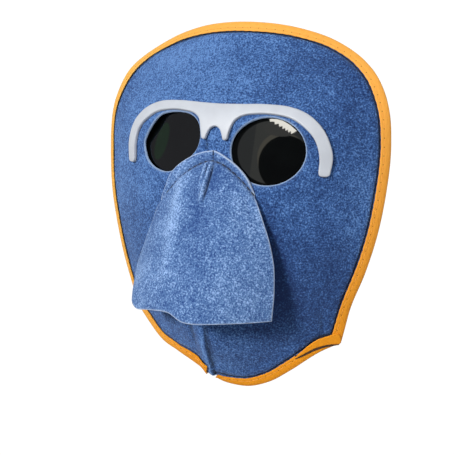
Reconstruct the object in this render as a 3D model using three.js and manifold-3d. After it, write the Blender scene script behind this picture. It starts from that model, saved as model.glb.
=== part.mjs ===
// Leather welding face mask: a suede panel with two eye holes, a nose flap, a hard brow bar over
// the eyes, dark lenses in a frame behind the suede, an edge tape and a head band.
//
// Millimetres, +Z up. The mask looks along -Y, and +X is on a viewer's right. The origin is where
// the mask sits on the head: on the middle plane, at the back edge of the eye cups.

import * as THREE from "three";
import { mergeVertices } from "three/addons/utils/BufferGeometryUtils.js";
import Module from "manifold-3d";

const wasm = await Module();
wasm.setup();

// Driving dimensions

const panelWidth = 237;
const panelHeight = 271;
const panelDepth = 60;
const bridgeHeight = 197; // from the lowest point of the edge up to the bridge of the nose
const seatDepth = 14; // from the suede at the bridge back to the face
const leather = 2.2;
const clearance = 0.3; // between pieces that touch

const tape = 1.0;
const tapeWidth = 8.5;
const tapeRound = 0.9;
const tapeSlack = 0.5; // between the suede and the tape folded round it

const eyeWidth = 55;
const eyeHeight = 48;
const eyeSpacing = 81;
const eyeDrop = 15.5; // from the bridge down to the middle of the eyes

const lensThickness = 3;
const lensBehindLeather = 6.6; // at the middle of the eye, from the front of the suede
const lensRim = 3; // how far the lens runs out under the edge of the hole
const lensToeSlope = 0.2; // the lens falls back this much for each millimetre outwards
const lensLeanSlope = 0.22; // and this much for each millimetre upwards
const cupWall = 2;
const cupLip = 2;
const cupDepth = 11; // from the front of the lens back to the rim of the cup
const flangeWidth = 7;
const flangeThickness = 2.5;
const flangeSlack = 0.7; // between the back of the suede and the flange

const barWidth = 167;
const barThickness = 3;
const barRise = 16; // from the bridge up to the bar's upper edge
const armShift = 1.6; // the ends of the arms sit this much to the right
const armDrop = 32; // from the bridge down to the ends of the arms
const toothDrop = 9; // from the bridge down to the tips of the teeth
const pinRadius = 1.5;

const flapWidth = 118;
const flapLength = 117;
const flapTop = 16.5; // from the bridge down to the top of the flap
const flapLift = 32; // how far the middle of the hem stands off the panel
const flapFlare = 10; // how much further its left corner stands off than its right one
const seamInset = 7.5; // from the top of the flap down to its seam
const seamSpread = 0.47; // the seam's ends drop by this share of the flap's length
const seamCurve = 1.7; // 1 is a straight V, higher a rounder arch
const liftCurve = 0.8; // 1 is a straight flap, lower one that stands off soon below its seam
const pleatHeight = 2.2;
const pleatWidth = 6;
const pleatLength = 26;

const tuckHeight = 2.6;
const tuckWidth = 14;
const tuckLength = 78;
const tuckStep = 0.05; // share of the width in which the lap rises to its full height
const tuckFlat = 0.3; // share from which it sinks back to the panel
const cornerGap = 0.45; // between the two tapes at the lower right corner

const bandWidth = 20;
const bandThickness = 1.8;
const headWidth = 156;
const headLength = 190; // from the seat to the back of the band
const postRadius = 1.6;
const postSpacing = 190;
const lugThickness = 2.4;
const lugMargin = 4; // how far the lug runs on past the post
const lugRoot = 6; // and how far towards the eye

// How finely the curved pieces are cut into facets
const margin = 2; // a block stands out of the outline that it is cut to
const barCell = 8;
const frameCell = 9;
const cupCell = 16;
const panelRings = [0.13, 0.26, 0.38, 0.48, 0.57, 0.66, 0.75, 0.84, 0.92, 1];
const panelCentre = 0.32; // share of bridgeHeight from the bridge down to the middle of the rings
const flapRings = [0.18, 0.36, 0.53, 0.68, 0.8, 0.88, 0.94, 1];
const flapCentre = 0.55; // the same, as a share of flapLength below the flap's top

// Tables of shares

// Cross sections of the panel, from the top down. height is a share of panelHeight above the
// lowest point, halfWidth of half the panelWidth, middle and edge of panelDepth behind the bridge.
// power is 1 for a straight V and higher for a flatter middle with sides that turn back.
const panelSections = [
  { height: 1.022, halfWidth: 1.0, middle: 0.9, edge: 2.217, power: 2.0 },
  { height: 0.952, halfWidth: 1.0, middle: 0.683, edge: 1.583, power: 2.0 },
  { height: 0.878, halfWidth: 1.0, middle: 0.458, edge: 1.067, power: 2.1 },
  { height: 0.801, halfWidth: 1.0, middle: 0.217, edge: 0.867, power: 2.4 },
  { height: 0.727, halfWidth: 1.0, middle: 0.033, edge: 0.755, power: 2.7 },
  { height: 0.638, halfWidth: 1.0, middle: -0.033, edge: 0.708, power: 2.7 },
  { height: 0.517, halfWidth: 0.976, middle: -0.117, edge: 0.643, power: 2.4 },
  { height: 0.406, halfWidth: 0.928, middle: -0.2, edge: 0.608, power: 2.1 },
  { height: 0.295, halfWidth: 0.854, middle: -0.267, edge: 0.563, power: 1.8 },
  { height: 0.192, halfWidth: 0.768, middle: -0.293, edge: 0.533, power: 1.5 },
  { height: 0.137, halfWidth: 0.743, middle: -0.242, edge: 0.517, power: 1.3 },
  { height: 0.081, halfWidth: 0.743, middle: -0.117, edge: 0.517, power: 1.2 },
  { height: -0.011, halfWidth: 0.743, middle: 0.117, edge: 0.55, power: 1.15 },
];

// The edge of the panel, in the same shares: across is a share of half the panelWidth.
const sideEdge = [
  { across: 0, height: 1.0 },
  { across: 0.222, height: 0.994 },
  { across: 0.394, height: 0.979 },
  { across: 0.57, height: 0.953 },
  { across: 0.776, height: 0.902 },
  { across: 0.893, height: 0.853 },
  { across: 0.973, height: 0.777 },
  { across: 1.0, height: 0.691 },
  { across: 0.991, height: 0.569 },
  { across: 0.956, height: 0.46 },
  { across: 0.886, height: 0.342 },
  { across: 0.802, height: 0.239 },
];
const rightChinEdge = [
  { across: 0.749, height: 0.141 },
  { across: 0.633, height: 0.115 },
  { across: 0.464, height: 0.059 },
  { across: 0.33, height: 0.02 },
  { across: 0.186, height: 0.0 },
  { across: 0.0, height: 0.015 },
];
const leftChinEdge = [
  { across: -0.755, height: 0.172 },
  { across: -0.605, height: 0.132 },
  { across: -0.447, height: 0.089 },
  { across: -0.31, height: 0.0745 },
  { across: -0.183, height: 0.0576 },
  { across: -0.068, height: 0.038 },
];

// The bar's outline on one side: across is a share of half the barWidth, rise of barRise,
// drop of armDrop and tooth of toothDrop, each from the bridge.
const barOuter = [
  { across: 0.0, rise: 0.95 },
  { across: 0.19, rise: 0.97 },
  { across: 0.42, rise: 1.0 },
  { across: 0.64, rise: 0.9 },
  { across: 0.8, rise: 0.57 },
  { across: 0.92, rise: 0.0 },
  { across: 0.98, drop: 0.33 },
  { across: 1.0, drop: 0.6 },
  { across: 0.99, drop: 0.86 },
  { across: 0.975, drop: 0.97 },
  { across: 0.95, drop: 1.0 },
  { across: 0.925, drop: 0.995 },
  { across: 0.905, drop: 0.94 },
];
const barInner = [
  { across: 0.905, drop: 0.62 },
  { across: 0.885, drop: 0.35 },
  { across: 0.845, drop: 0.14 },
  { across: 0.77, rise: 0.1 },
  { across: 0.66, rise: 0.44 },
  { across: 0.5, rise: 0.6 },
  { across: 0.36, rise: 0.6 },
  { across: 0.24, rise: 0.5 },
  { across: 0.175, rise: 0.28 },
  { across: 0.15, rise: 0.0 },
  { across: 0.135, tooth: 0.5 },
  { across: 0.12, tooth: 0.97 },
  { across: 0.09, tooth: 1.0 },
  { across: 0.072, tooth: 0.6 },
  { across: 0.045, tooth: 0.18 },
  { across: 0.0, rise: 0.0 },
];
const barPins = [
  { across: 0.31, rise: 0.8 },
  { across: 0.95, drop: 0.66 },
];

// The flap's outline: height is a share of flapLength below its top, left and right of half the
// flapWidth.
const flapOutline = [
  { height: 0.0, left: 0.0, right: 0.0 },
  { height: 0.015, left: 0.15, right: 0.09 },
  { height: 0.04, left: 0.28, right: 0.19 },
  { height: 0.09, left: 0.45, right: 0.35 },
  { height: 0.16, left: 0.6, right: 0.49 },
  { height: 0.26, left: 0.69, right: 0.6 },
  { height: 0.38, left: 0.77, right: 0.72 },
  { height: 0.52, left: 0.86, right: 0.83 },
  { height: 0.67, left: 0.97, right: 0.91 },
  { height: 0.82, left: 1.08, right: 0.94 },
  { height: 0.92, left: 1.05, right: 0.945 },
  { height: 1.0, left: 0.95, right: 0.95 },
];
const flapHem = [
  { height: 1.005, across: -0.86 },
  { height: 0.978, across: -0.5 },
  { height: 0.997, across: 0.05 },
  { height: 0.997, across: 0.5 },
];

// Half of the head band's way round the head: across is a share of half the headWidth, back of
// headLength behind the seat.
const bandRoute = [
  { across: 1.13, back: 0.3 },
  { across: 1.04, back: 0.45 },
  { across: 0.97, back: 0.6 },
  { across: 0.84, back: 0.78 },
  { across: 0.6, back: 0.91 },
  { across: 0.3, back: 0.98 },
  { across: 0.0, back: 1.0 },
];

// The suede surface

const halfWidth = panelWidth / 2;
const levelOf = (share) => share * panelHeight - bridgeHeight;

// A column of the table at a level, on a smooth curve through its rows.
function sectionValue(column, z) {
  const rows = panelSections;
  const last = rows.length - 1;
  let i = 0;
  while (i < last - 1 && levelOf(rows[i + 1].height) > z) i++;
  const slope = (k) => {
    const a = rows[Math.max(k - 1, 0)];
    const b = rows[Math.min(k + 1, last)];
    return (b[column] - a[column]) / (levelOf(b.height) - levelOf(a.height));
  };
  const z0 = levelOf(rows[i].height);
  const step = levelOf(rows[i + 1].height) - z0;
  const t = (z - z0) / step;
  const ease = t * t * (3 - 2 * t);
  return (
    (1 - ease) * rows[i][column] +
    ease * rows[i + 1][column] +
    (t - 2 * t * t + t ** 3) * step * slope(i) +
    (t ** 3 - t * t) * step * slope(i + 1)
  );
}

// How far the front of the suede lies behind the bridge, at a place seen from the front.
function suede(x, z) {
  const middle = sectionValue("middle", z);
  const edge = sectionValue("edge", z);
  const share = Math.abs(x) / (halfWidth * sectionValue("halfWidth", z));
  return panelDepth * (middle + (edge - middle) * share ** sectionValue("power", z));
}

// The direction straight back out of a surface given as a depth function.
function backward(surface, x, z) {
  const h = 0.5;
  return new THREE.Vector3(
    -(surface(x + h, z) - surface(x - h, z)) / (2 * h),
    1,
    -(surface(x, z + h) - surface(x, z - h)) / (2 * h),
  ).normalize();
}

const point = (surface, x, z) => new THREE.Vector3(x, surface(x, z), z);

// A surface at an even distance behind another one, or in front of it.
const parallel = (surface, distance) => (x, z) =>
  surface(x, z) + distance / backward(surface, x, z).y;

// The chin tuck: the left side laps over the right one and ends in a step on the middle line.
function tuck(x, z) {
  const low = THREE.MathUtils.smoothstep(-z, bridgeHeight - tuckLength, bridgeHeight);
  const across = -x / tuckWidth;
  if (across <= 0 || across >= 1) return 0;
  const rise = 1 - THREE.MathUtils.smoothstep(across, tuckFlat, 1);
  return tuckHeight * low * rise * Math.min(1, across / tuckStep);
}

// Meshes and solids

function toSolid(geometry) {
  const plain = geometry.clone();
  plain.deleteAttribute("normal");
  plain.deleteAttribute("uv");
  const merged = mergeVertices(plain, 1e-4);
  return new wasm.Manifold(
    new wasm.Mesh({
      numProp: 3,
      vertProperties: new Float32Array(merged.attributes.position.array),
      triVerts: new Uint32Array(merged.index.array),
    }),
  );
}

function toGeometry(solid) {
  const mesh = solid.getMesh();
  const geometry = new THREE.BufferGeometry();
  geometry.setAttribute("position", new THREE.BufferAttribute(mesh.vertProperties, 3));
  geometry.setIndex(new THREE.BufferAttribute(mesh.triVerts, 1));
  geometry.computeVertexNormals();
  return geometry;
}

function indexed(points, faces) {
  const geometry = new THREE.BufferGeometry().setFromPoints(points);
  geometry.setIndex(faces.flat());
  return geometry;
}

// A closed skin swept through rows of points, one for each corner of a flat section. The section's
// first axis turned to its second points against the sweep.
function skin(rows, section) {
  const n = section.length;
  const end = (rows.length - 1) * n;
  const faces = [];
  for (let r = 0; r < end; r += n) {
    for (let k = 0; k < n; k++) {
      const next = (k + 1) % n;
      faces.push([r + k, r + n + next, r + next], [r + k, r + n + k, r + n + next]);
    }
  }
  for (const [a, b, c] of THREE.ShapeUtils.triangulateShape(section, [])) {
    faces.push([a, b, c], [end + c, end + b, end + a]);
  }
  return indexed(rows.flat(), faces);
}

// A sheet with a front surface and a thickness, inside an outline that runs anticlockwise seen
// from the front. Its grid is rings of the outline drawn in towards a centre.
function sheet(outline, centre, surface, relief, thickness, rings) {
  const layer = (offset) => {
    const place = (x, z) => {
      const back = backward(surface, x, z);
      return point(surface, x, z).addScaledVector(back, offset(x, z));
    };
    const points = [place(centre.x, centre.y)];
    for (const share of rings) {
      for (const p of outline) {
        const q = centre.clone().lerp(p, share);
        points.push(place(q.x, q.y));
      }
    }
    return points;
  };
  const front = layer((x, z) => -relief(x, z));
  const back = layer(() => thickness);
  const n = outline.length;
  const total = front.length;
  const faces = [];
  for (let k = 0; k < n; k++) {
    const next = (k + 1) % n;
    faces.push([0, 1 + k, 1 + next], [total, total + 1 + next, total + 1 + k]);
    for (let r = 0; r + 1 < rings.length; r++) {
      const a = 1 + r * n + k;
      const b = 1 + r * n + next;
      faces.push([a, a + n, b + n], [a, b + n, b]);
      faces.push([total + a, total + b + n, total + a + n], [total + a, total + b, total + b + n]);
    }
    const edge = total - n + k;
    const edgeNext = total - n + next;
    faces.push([edge, total + edge, total + edgeNext], [edge, total + edgeNext, edgeNext]);
  }
  return indexed([...front, ...back], faces);
}

// A block over a rectangle, between two depth functions.
function slab(front, back, [x0, x1], [z0, z1], cell) {
  const nx = Math.ceil((x1 - x0) / cell);
  const nz = Math.ceil((z1 - z0) / cell);
  const outline = [];
  for (let i = 0; i < nx; i++) outline.push([i, 0]);
  for (let j = 0; j < nz; j++) outline.push([nx, j]);
  for (let i = nx; i > 0; i--) outline.push([i, nz]);
  for (let j = nz; j > 0; j--) outline.push([0, j]);
  const points = [];
  for (const surface of [front, back]) {
    for (let j = 0; j <= nz; j++) {
      for (let i = 0; i <= nx; i++) {
        points.push(point(surface, x0 + ((x1 - x0) * i) / nx, z0 + ((z1 - z0) * j) / nz));
      }
    }
  }
  const at = (i, j) => j * (nx + 1) + i;
  const total = (nx + 1) * (nz + 1);
  const faces = [];
  for (let j = 0; j < nz; j++) {
    for (let i = 0; i < nx; i++) {
      const [a, b, c, d] = [at(i, j), at(i + 1, j), at(i + 1, j + 1), at(i, j + 1)];
      faces.push([a, b, c], [a, c, d]);
      faces.push([total + a, total + c, total + b], [total + a, total + d, total + c]);
    }
  }
  outline.forEach(([i, j], k) => {
    const [m, n] = outline[(k + 1) % outline.length];
    const [a, b] = [at(i, j), at(m, n)];
    faces.push([a, total + a, total + b], [a, total + b, b]);
  });
  return toSolid(indexed(points, faces));
}

// A straight prism along Y with an outline given from the front.
function prism(outline) {
  const reach = 4 * panelDepth;
  const geometry = new THREE.ExtrudeGeometry(new THREE.Shape(outline), {
    depth: 2 * reach,
    bevelEnabled: false,
  });
  geometry.rotateX(Math.PI / 2);
  geometry.translate(0, reach, 0);
  return toSolid(geometry);
}

function oval(x, z, width, height, steps) {
  return Array.from({ length: steps }, (_, k) => {
    const turn = (2 * Math.PI * k) / steps;
    return new THREE.Vector2(
      x + (width / 2) * Math.cos(turn),
      z + (height / 2) * Math.sin(turn),
    );
  });
}

// Evenly spaced points on a smooth curve through the rows, without the last one.
function along(rows, count) {
  const curve = new THREE.CatmullRomCurve3(
    rows.map((p) => new THREE.Vector3(p.x, p.y, 0)),
    false,
    "centripetal",
  );
  return curve
    .getSpacedPoints(count)
    .slice(0, -1)
    .map((p) => new THREE.Vector2(p.x, p.y));
}

// The edge of the panel

const flip = (p) => new THREE.Vector2(-p.x, p.y);
const edgePlace = (row) => new THREE.Vector2(row.across * halfWidth, levelOf(row.height));
const side = sideEdge.map(edgePlace);
const rightChin = rightChinEdge.map(edgePlace);
const leftChin = leftChinEdge.map(edgePlace);
const chin = rightChin.at(-1);
const tuckFoot = leftChin.at(-1);

// The stretches of the edge, anticlockwise from the chin as seen from the front.
const rim = {
  rightChin: along([...rightChin].reverse(), 12),
  round: along([rightChin[0], ...[...side].reverse(), ...side.slice(1).map(flip), leftChin[0]], 56),
  leftChin: along(leftChin, 9),
  tuck: [0, 0.35, 0.65, 0.93].map((share) => tuckFoot.clone().lerp(chin, share)),
};
const rimLoop = [...rim.rightChin, ...rim.round, ...rim.leftChin, ...rim.tuck];

function towards(outline, centre, distance) {
  return outline.map((p) => p.clone().lerp(centre, distance / p.distanceTo(centre)));
}

// Eyes, bar and flap seen from the front

const eyeX = eyeSpacing / 2;
const eyeZ = -eyeDrop;
const eyeOval = (hand, margin) =>
  oval(hand * eyeX, eyeZ, eyeWidth + 2 * margin, eyeHeight + 2 * margin, 32);

function barPlace({ across, rise = 0, drop = 0, tooth = 0 }) {
  const z = rise * barRise - drop * armDrop - tooth * toothDrop;
  return new THREE.Vector2((across * barWidth) / 2 + armShift * across ** 2, z);
}

const otherSide = (row) => ({ ...row, across: -row.across });
const barHalf = [...barOuter, ...barInner];
const barOutline = [...barHalf, ...barHalf.slice(1, -1).map(otherSide).reverse()].map(barPlace);
const pinPlaces = barPins.flatMap((row) => [row, otherSide(row)]).map(barPlace);

const pin = (p, radius, steps = 12) => prism(oval(p.x, p.y, 2 * radius, 2 * radius, steps));

const flapEdge = (hand) =>
  flapOutline.map((row) => {
    const across = hand > 0 ? row.right : -row.left;
    return new THREE.Vector2((across * flapWidth) / 2, -flapTop - row.height * flapLength);
  });
const hemEdge = flapHem.map(
  (row) => new THREE.Vector2((row.across * flapWidth) / 2, -flapTop - row.height * flapLength),
);
const flapLoop = [
  ...along([flapEdge(-1).at(-1), ...hemEdge, flapEdge(1).at(-1)], 14),
  ...along([...flapEdge(1)].reverse(), 20),
  ...along(flapEdge(-1), 20),
];

// How far a place on the flap lies below its seam, which is an arch under the eyes.
function belowSeam(x, z) {
  const arch = seamSpread * flapLength * Math.abs(x / (flapWidth / 2)) ** seamCurve;
  return Math.max(0, -z - flapTop - seamInset - arch);
}

// The front of the flap: flat on the panel down to the seam, then standing off more and more.
function flapFront(x, z) {
  const share = belowSeam(x, z) / (flapLength - seamInset);
  const left = Math.max(0, -x / (flapWidth / 2));
  const flare = flapFlare * left ** 2 * Math.min(1, 2 * share) ** 2;
  return parallel(suede, -clearance - leather)(x, z) - flapLift * share ** liftCurve - flare;
}

// The small pleat that starts at the seam on the middle line.
function pleat(x, z) {
  const down = belowSeam(0, z) / pleatLength;
  const across = Math.abs(x + pleatWidth * down) / pleatWidth;
  if (down <= 0 || down >= 1 || across >= 1) return 0;
  return pleatHeight * Math.sin(Math.PI * down ** 0.5) * (1 - across ** 2);
}

// The pieces

function facePanel() {
  const middle = new THREE.Vector2(0, -bridgeHeight * panelCentre);
  const outline = towards(rimLoop, middle, tape + tapeSlack);
  let panel = toSolid(sheet(outline, middle, suede, tuck, leather, panelRings));
  for (const hand of [1, -1]) panel = panel.subtract(prism(eyeOval(hand, 0)));
  for (const p of pinPlaces) panel = panel.subtract(pin(p, pinRadius + clearance));
  return toGeometry(panel);
}

// The tape's section: along is the way in from the edge, out the way back from the suede's front.
function tapeSection() {
  const outside = tapeSlack + tape;
  const far = leather + outside;
  return [
    [tapeWidth, -tapeSlack],
    [tape, -tapeSlack],
    [tape, far - tape],
    [tapeWidth, far - tape],
    [tapeWidth, far],
    [tapeRound, far],
    [0, far - tapeRound],
    [0, tapeRound - outside],
    [tapeRound, -outside],
    [tapeWidth, -outside],
  ].map(([along, out]) => new THREE.Vector2(along, out));
}

function tapeAlong(loop, first, last) {
  const section = tapeSection();
  const rows = [];
  for (let k = first; k <= last; k++) {
    const at = (i) => loop[(i + loop.length) % loop.length];
    const here = at(k);
    const ahead = point(suede, at(k + 1).x, at(k + 1).y);
    const behind = point(suede, at(k - 1).x, at(k - 1).y);
    const back = backward(suede, here.x, here.y);
    const inward = ahead.sub(behind).cross(back).normalize();
    rows.push(
      section.map(({ x: along, y: out }) => {
        const x = here.x + inward.x * along;
        const z = here.y + inward.z * along;
        const lift = out < 0 ? tuck(x, z) : 0;
        return point(suede, x, z).addScaledVector(backward(suede, x, z), out - lift);
      }),
    );
  }
  return skin(rows, section);
}

function noseFlap() {
  const middle = new THREE.Vector2(0, -flapTop - flapCentre * flapLength);
  return sheet(flapLoop, middle, flapFront, pleat, leather, flapRings);
}

function browBar() {
  const front = parallel(suede, -clearance - barThickness);
  const back = parallel(suede, -clearance);
  const half = barWidth / 2 + armShift + margin;
  const high = [-armDrop - margin, barRise + margin];
  let bar = slab(front, back, [-half, half], high, barCell).intersect(prism(barOutline));
  const middle = parallel(suede, -clearance - barThickness / 2);
  const end = parallel(suede, leather + flangeSlack + flangeThickness);
  for (const p of pinPlaces) {
    const room = 2 * pinRadius;
    const block = slab(middle, end, [p.x - room, p.x + room], [p.y - room, p.y + room], pinRadius);
    bar = bar.add(block.intersect(pin(p, pinRadius)));
  }
  return toGeometry(bar);
}

function lensFront(x, z) {
  const middle = suede(eyeX, eyeZ) + lensBehindLeather;
  return middle + lensToeSlope * (Math.abs(x) - eyeX) + lensLeanSlope * (z - eyeZ);
}

const behindLens = (distance) => (x, z) => lensFront(x, z) + distance;

function lens(hand) {
  const reach = Math.max(eyeWidth, eyeHeight) / 2 + lensRim + margin;
  const across = [hand * eyeX - reach, hand * eyeX + reach];
  const high = [eyeZ - reach, eyeZ + reach];
  const plate = slab(lensFront, behindLens(lensThickness), across, high, 2 * reach);
  return toGeometry(plate.intersect(prism(eyeOval(hand, lensRim))));
}

const lugBack = parallel(suede, leather + flangeSlack + flangeThickness);
const loopRadius = postRadius + clearance + bandThickness;
const postX = postSpacing / 2;
const bandZ = eyeZ;
const postY = parallel(suede, leather + flangeSlack + flangeThickness + clearance + loopRadius)(
  postX,
  bandZ + bandWidth / 2,
);

// A block along Z with an outline given from above.
function plank(outline, low, high) {
  const geometry = new THREE.ExtrudeGeometry(new THREE.Shape(outline), {
    depth: high - low,
    bevelEnabled: false,
  });
  geometry.translate(0, 0, low);
  return toSolid(geometry);
}

// The lug for the head band: a tongue of the flange, two ears and the post between them.
function lug(hand) {
  const half = bandWidth / 2 + clearance;
  const root = parallel(suede, leather + flangeSlack + flangeThickness / 2);
  const ear = (low) => {
    const level = low + lugThickness / 2;
    const corners = [
      [postX - lugRoot, root(postX - lugRoot, level)],
      [postX + lugMargin, root(postX + lugMargin, level)],
      [postX + lugMargin, postY],
      [postX + lugMargin / 2, postY + lugMargin],
      [postX - lugMargin / 2, postY + lugMargin],
    ];
    const outline = corners.map(([x, y]) => new THREE.Vector2(hand * x, y));
    return plank(outline, low, low + lugThickness);
  };
  const post = plank(
    oval(hand * postX, postY, 2 * postRadius, 2 * postRadius, 12),
    bandZ - half - lugThickness / 2,
    bandZ + half + lugThickness / 2,
  );
  return post.add(ear(bandZ + half)).add(ear(bandZ - half - lugThickness));
}

function eyeFrame() {
  const front = parallel(suede, leather + flangeSlack);
  const root = parallel(suede, leather + flangeSlack + flangeThickness / 2);
  const lugReach = bandWidth / 2 + clearance + lugThickness;
  const half = postX + lugMargin + margin;
  const lowest = Math.max(eyeHeight / 2 + flangeWidth, lugReach);
  const high = [eyeZ - lowest - margin, barRise + margin];
  const tongue = (hand) =>
    [
      [eyeX, bandZ - lugReach],
      [postX + lugMargin, bandZ - lugReach],
      [postX + lugMargin, bandZ + lugReach],
      [eyeX, bandZ + lugReach],
    ].map(([x, z]) => new THREE.Vector2(hand * x, z));
  let shape = prism(barOutline);
  for (const hand of [1, -1]) {
    shape = shape.add(prism(eyeOval(hand, flangeWidth))).add(prism(tongue(hand)));
  }
  let frame = slab(front, lugBack, [-half, half], high, frameCell).intersect(shape);
  const cupMargin = lensRim + clearance + cupWall;
  const cupHalf = eyeX + eyeWidth / 2 + cupMargin + margin;
  const cupHeight = eyeHeight / 2 + cupMargin + margin;
  const cupHigh = [eyeZ - cupHeight, eyeZ + cupHeight];
  const cups = slab(root, behindLens(cupDepth), [-cupHalf, cupHalf], cupHigh, cupCell);
  const room = behindLens(lensThickness + clearance);
  for (const hand of [1, -1]) {
    frame = frame
      .add(cups.intersect(prism(eyeOval(hand, cupMargin))))
      .add(lug(hand));
  }
  for (const hand of [1, -1]) {
    const across = hand > 0 ? [0, cupHalf] : [-cupHalf, 0];
    const pocket = slab(() => -panelDepth, room, across, cupHigh, cupHalf);
    frame = frame
      .subtract(prism(eyeOval(hand, lensRim - cupLip)))
      .subtract(pocket.intersect(prism(eyeOval(hand, lensRim + clearance))));
  }
  for (const p of pinPlaces) frame = frame.subtract(pin(p, pinRadius + clearance));
  return toGeometry(frame);
}

// The head band: doubled on itself behind each post, then single round the head.
function headStrap() {
  const half = [
    [postX, postY + loopRadius - bandThickness / 2],
    [postX, postY + 3 * loopRadius],
    ...bandRoute.map((row) => [(row.across * headWidth) / 2, row.back * headLength + seatDepth]),
  ];
  const route = [...half, ...half.slice(0, -1).map(([x, y]) => [-x, y]).reverse()];
  const curve = new THREE.CatmullRomCurve3(
    route.map(([x, y]) => new THREE.Vector3(x, y, bandZ)),
    false,
    "centripetal",
  );
  const steps = 48;
  const doubled = 2;
  const rows = [];
  const section = [[-1, -1], [1, -1], [1, 1], [-1, 1]].map(([u, v]) => new THREE.Vector2(u, v));
  for (let k = 0; k <= steps; k++) {
    const here = curve.getPointAt(k / steps);
    const aside = curve.getTangentAt(k / steps).cross(new THREE.Vector3(0, 0, 1));
    const thickness = bandThickness * (Math.min(k, steps - k) <= doubled ? 2 : 1);
    rows.push(
      section.map(({ x: u, y: v }) =>
        here
          .clone()
          .addScaledVector(aside, (u * thickness) / 2)
          .setZ(bandZ + (v * bandWidth) / 2),
      ),
    );
  }
  let strap = toSolid(skin(rows, section));
  const low = bandZ - bandWidth / 2;
  const high = bandZ + bandWidth / 2;
  for (const hand of [1, -1]) {
    const round = (radius) => oval(hand * postX, postY, 2 * radius, 2 * radius, 20);
    strap = strap
      .add(plank(round(loopRadius), low, high))
      .subtract(plank(round(postRadius + clearance), low - margin, high + margin));
  }
  return toGeometry(strap);
}

// The mask

const corner = rim.rightChin.length;
const tuckStart = rimLoop.length - rim.tuck.length;
const chinLoop = [...rimLoop];
chinLoop[corner] = towards([rimLoop[corner]], rimLoop[corner - 1], cornerGap)[0];

const paint = (color, roughness, metalness = 0) =>
  new THREE.MeshStandardMaterial({ color, roughness, metalness });

const pieces = {
  face_panel: [facePanel(), paint(0x35568f, 0.95)],
  edge_binding: [tapeAlong(rimLoop, corner, tuckStart), paint(0xe8951c, 0.7)],
  chin_binding: [tapeAlong(chinLoop, 0, corner), paint(0xe8951c, 0.7)],
  nose_flap: [noseFlap(), paint(0x5f80b8, 0.95)],
  brow_bar: [browBar(), paint(0xd9dbe0, 0.4)],
  eye_frame: [eyeFrame(), paint(0x15161a, 0.5)],
  lens_right: [lens(1), paint(0x1c211e, 0.1)],
  lens_left: [lens(-1), paint(0x1c211e, 0.1)],
  head_strap: [headStrap(), paint(0x1b1b1e, 0.9)],
};

const mask = new THREE.Group();
mask.position.y = -seatDepth;
for (const [name, [geometry, material]] of Object.entries(pieces)) {
  const mesh = new THREE.Mesh(geometry, material);
  mesh.name = name;
  mask.add(mesh);
}

export default mask;
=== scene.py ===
# %% [markdown]
# # A leather welding face mask
#
# The mask is one sheet of split suede with two eye holes. A hard frame behind it holds two dark
# lenses, a pale bar in front of it holds the suede to the frame, and a second piece of suede hangs
# over the nose. An orange tape is folded round the edge, and an elastic band goes round the head.
#
# The solids of the mask are loaded as a frame. Hard or soft, each piece is made again here with a
# finer surface, in the place that its solid holds, and the solid is hidden behind it.

# %% Load the frame
import math

import bpy
import numpy as np
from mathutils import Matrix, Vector, geometry, kdtree, noise


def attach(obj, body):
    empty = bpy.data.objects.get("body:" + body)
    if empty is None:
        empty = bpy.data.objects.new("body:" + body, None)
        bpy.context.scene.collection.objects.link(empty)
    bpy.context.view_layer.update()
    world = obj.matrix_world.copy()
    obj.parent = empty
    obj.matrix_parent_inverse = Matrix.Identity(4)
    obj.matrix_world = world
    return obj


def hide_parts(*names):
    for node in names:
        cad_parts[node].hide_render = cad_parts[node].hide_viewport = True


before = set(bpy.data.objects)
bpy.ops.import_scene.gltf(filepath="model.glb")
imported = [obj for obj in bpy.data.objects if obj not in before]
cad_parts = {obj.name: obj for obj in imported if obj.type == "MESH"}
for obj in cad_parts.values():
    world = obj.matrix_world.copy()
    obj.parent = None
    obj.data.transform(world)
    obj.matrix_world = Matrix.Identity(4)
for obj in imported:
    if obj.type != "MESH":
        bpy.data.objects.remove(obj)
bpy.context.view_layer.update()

print("solids:", sorted(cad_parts))

# %% [markdown]
# ## Two small habits
#
# Every operator works on what is selected, so each step starts with nothing selected. Sizes are
# written in millimetres, as on a pattern, and are multiplied by MM when a mesh is made.

# %% Selecting and finishing
MM = 0.001


def pick(*objects):
    """Select these objects and nothing else, the last one active."""
    bpy.ops.object.select_all(action="DESELECT")
    for one in objects:
        one.select_set(True)
    bpy.context.view_layer.objects.active = objects[-1]


def apply_all(piece):
    """Work the modifiers of a piece into its mesh."""
    pick(piece)
    for modifier in list(piece.modifiers):
        bpy.ops.object.modifier_apply(modifier=modifier.name)


def settle(piece):
    """Put the place and turn of the object into its mesh."""
    pick(piece)
    bpy.ops.object.transform_apply(location=True, rotation=True, scale=True)


def smooth(piece, degrees):
    """Smooth the edges that bend less than this, and print how fine the piece is and where it lies."""
    pick(piece)
    bpy.ops.object.shade_smooth_by_angle(angle=math.radians(degrees))
    piece.data.calc_loop_triangles()
    places = np.array([v.co for v in piece.data.vertices]) / MM
    low, high = places.min(axis=0).round(1), places.max(axis=0).round(1)
    print(f"{piece.name}: {len(piece.data.loop_triangles)} triangles, {low} to {high} mm")


# %% [markdown]
# ## The camera and the light
#
# The mask is photographed from a little above and from its left-hand side, with a long lens that
# keeps it flat. A small lamp on the left of the camera throws the flap's shadow to the right, and a
# wide one on the right fills it. A white room lifts the rest. The floor is a wide pale dish far
# below, so that no horizon crosses the picture.

# %% Camera
CAMERA_PLACE = (0.3634, -0.6783, 0.0867)
AZIMUTH, ELEVATION = 28, 12
FOCAL_LENGTH, SENSOR_WIDTH = 83.08, 36.0

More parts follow.
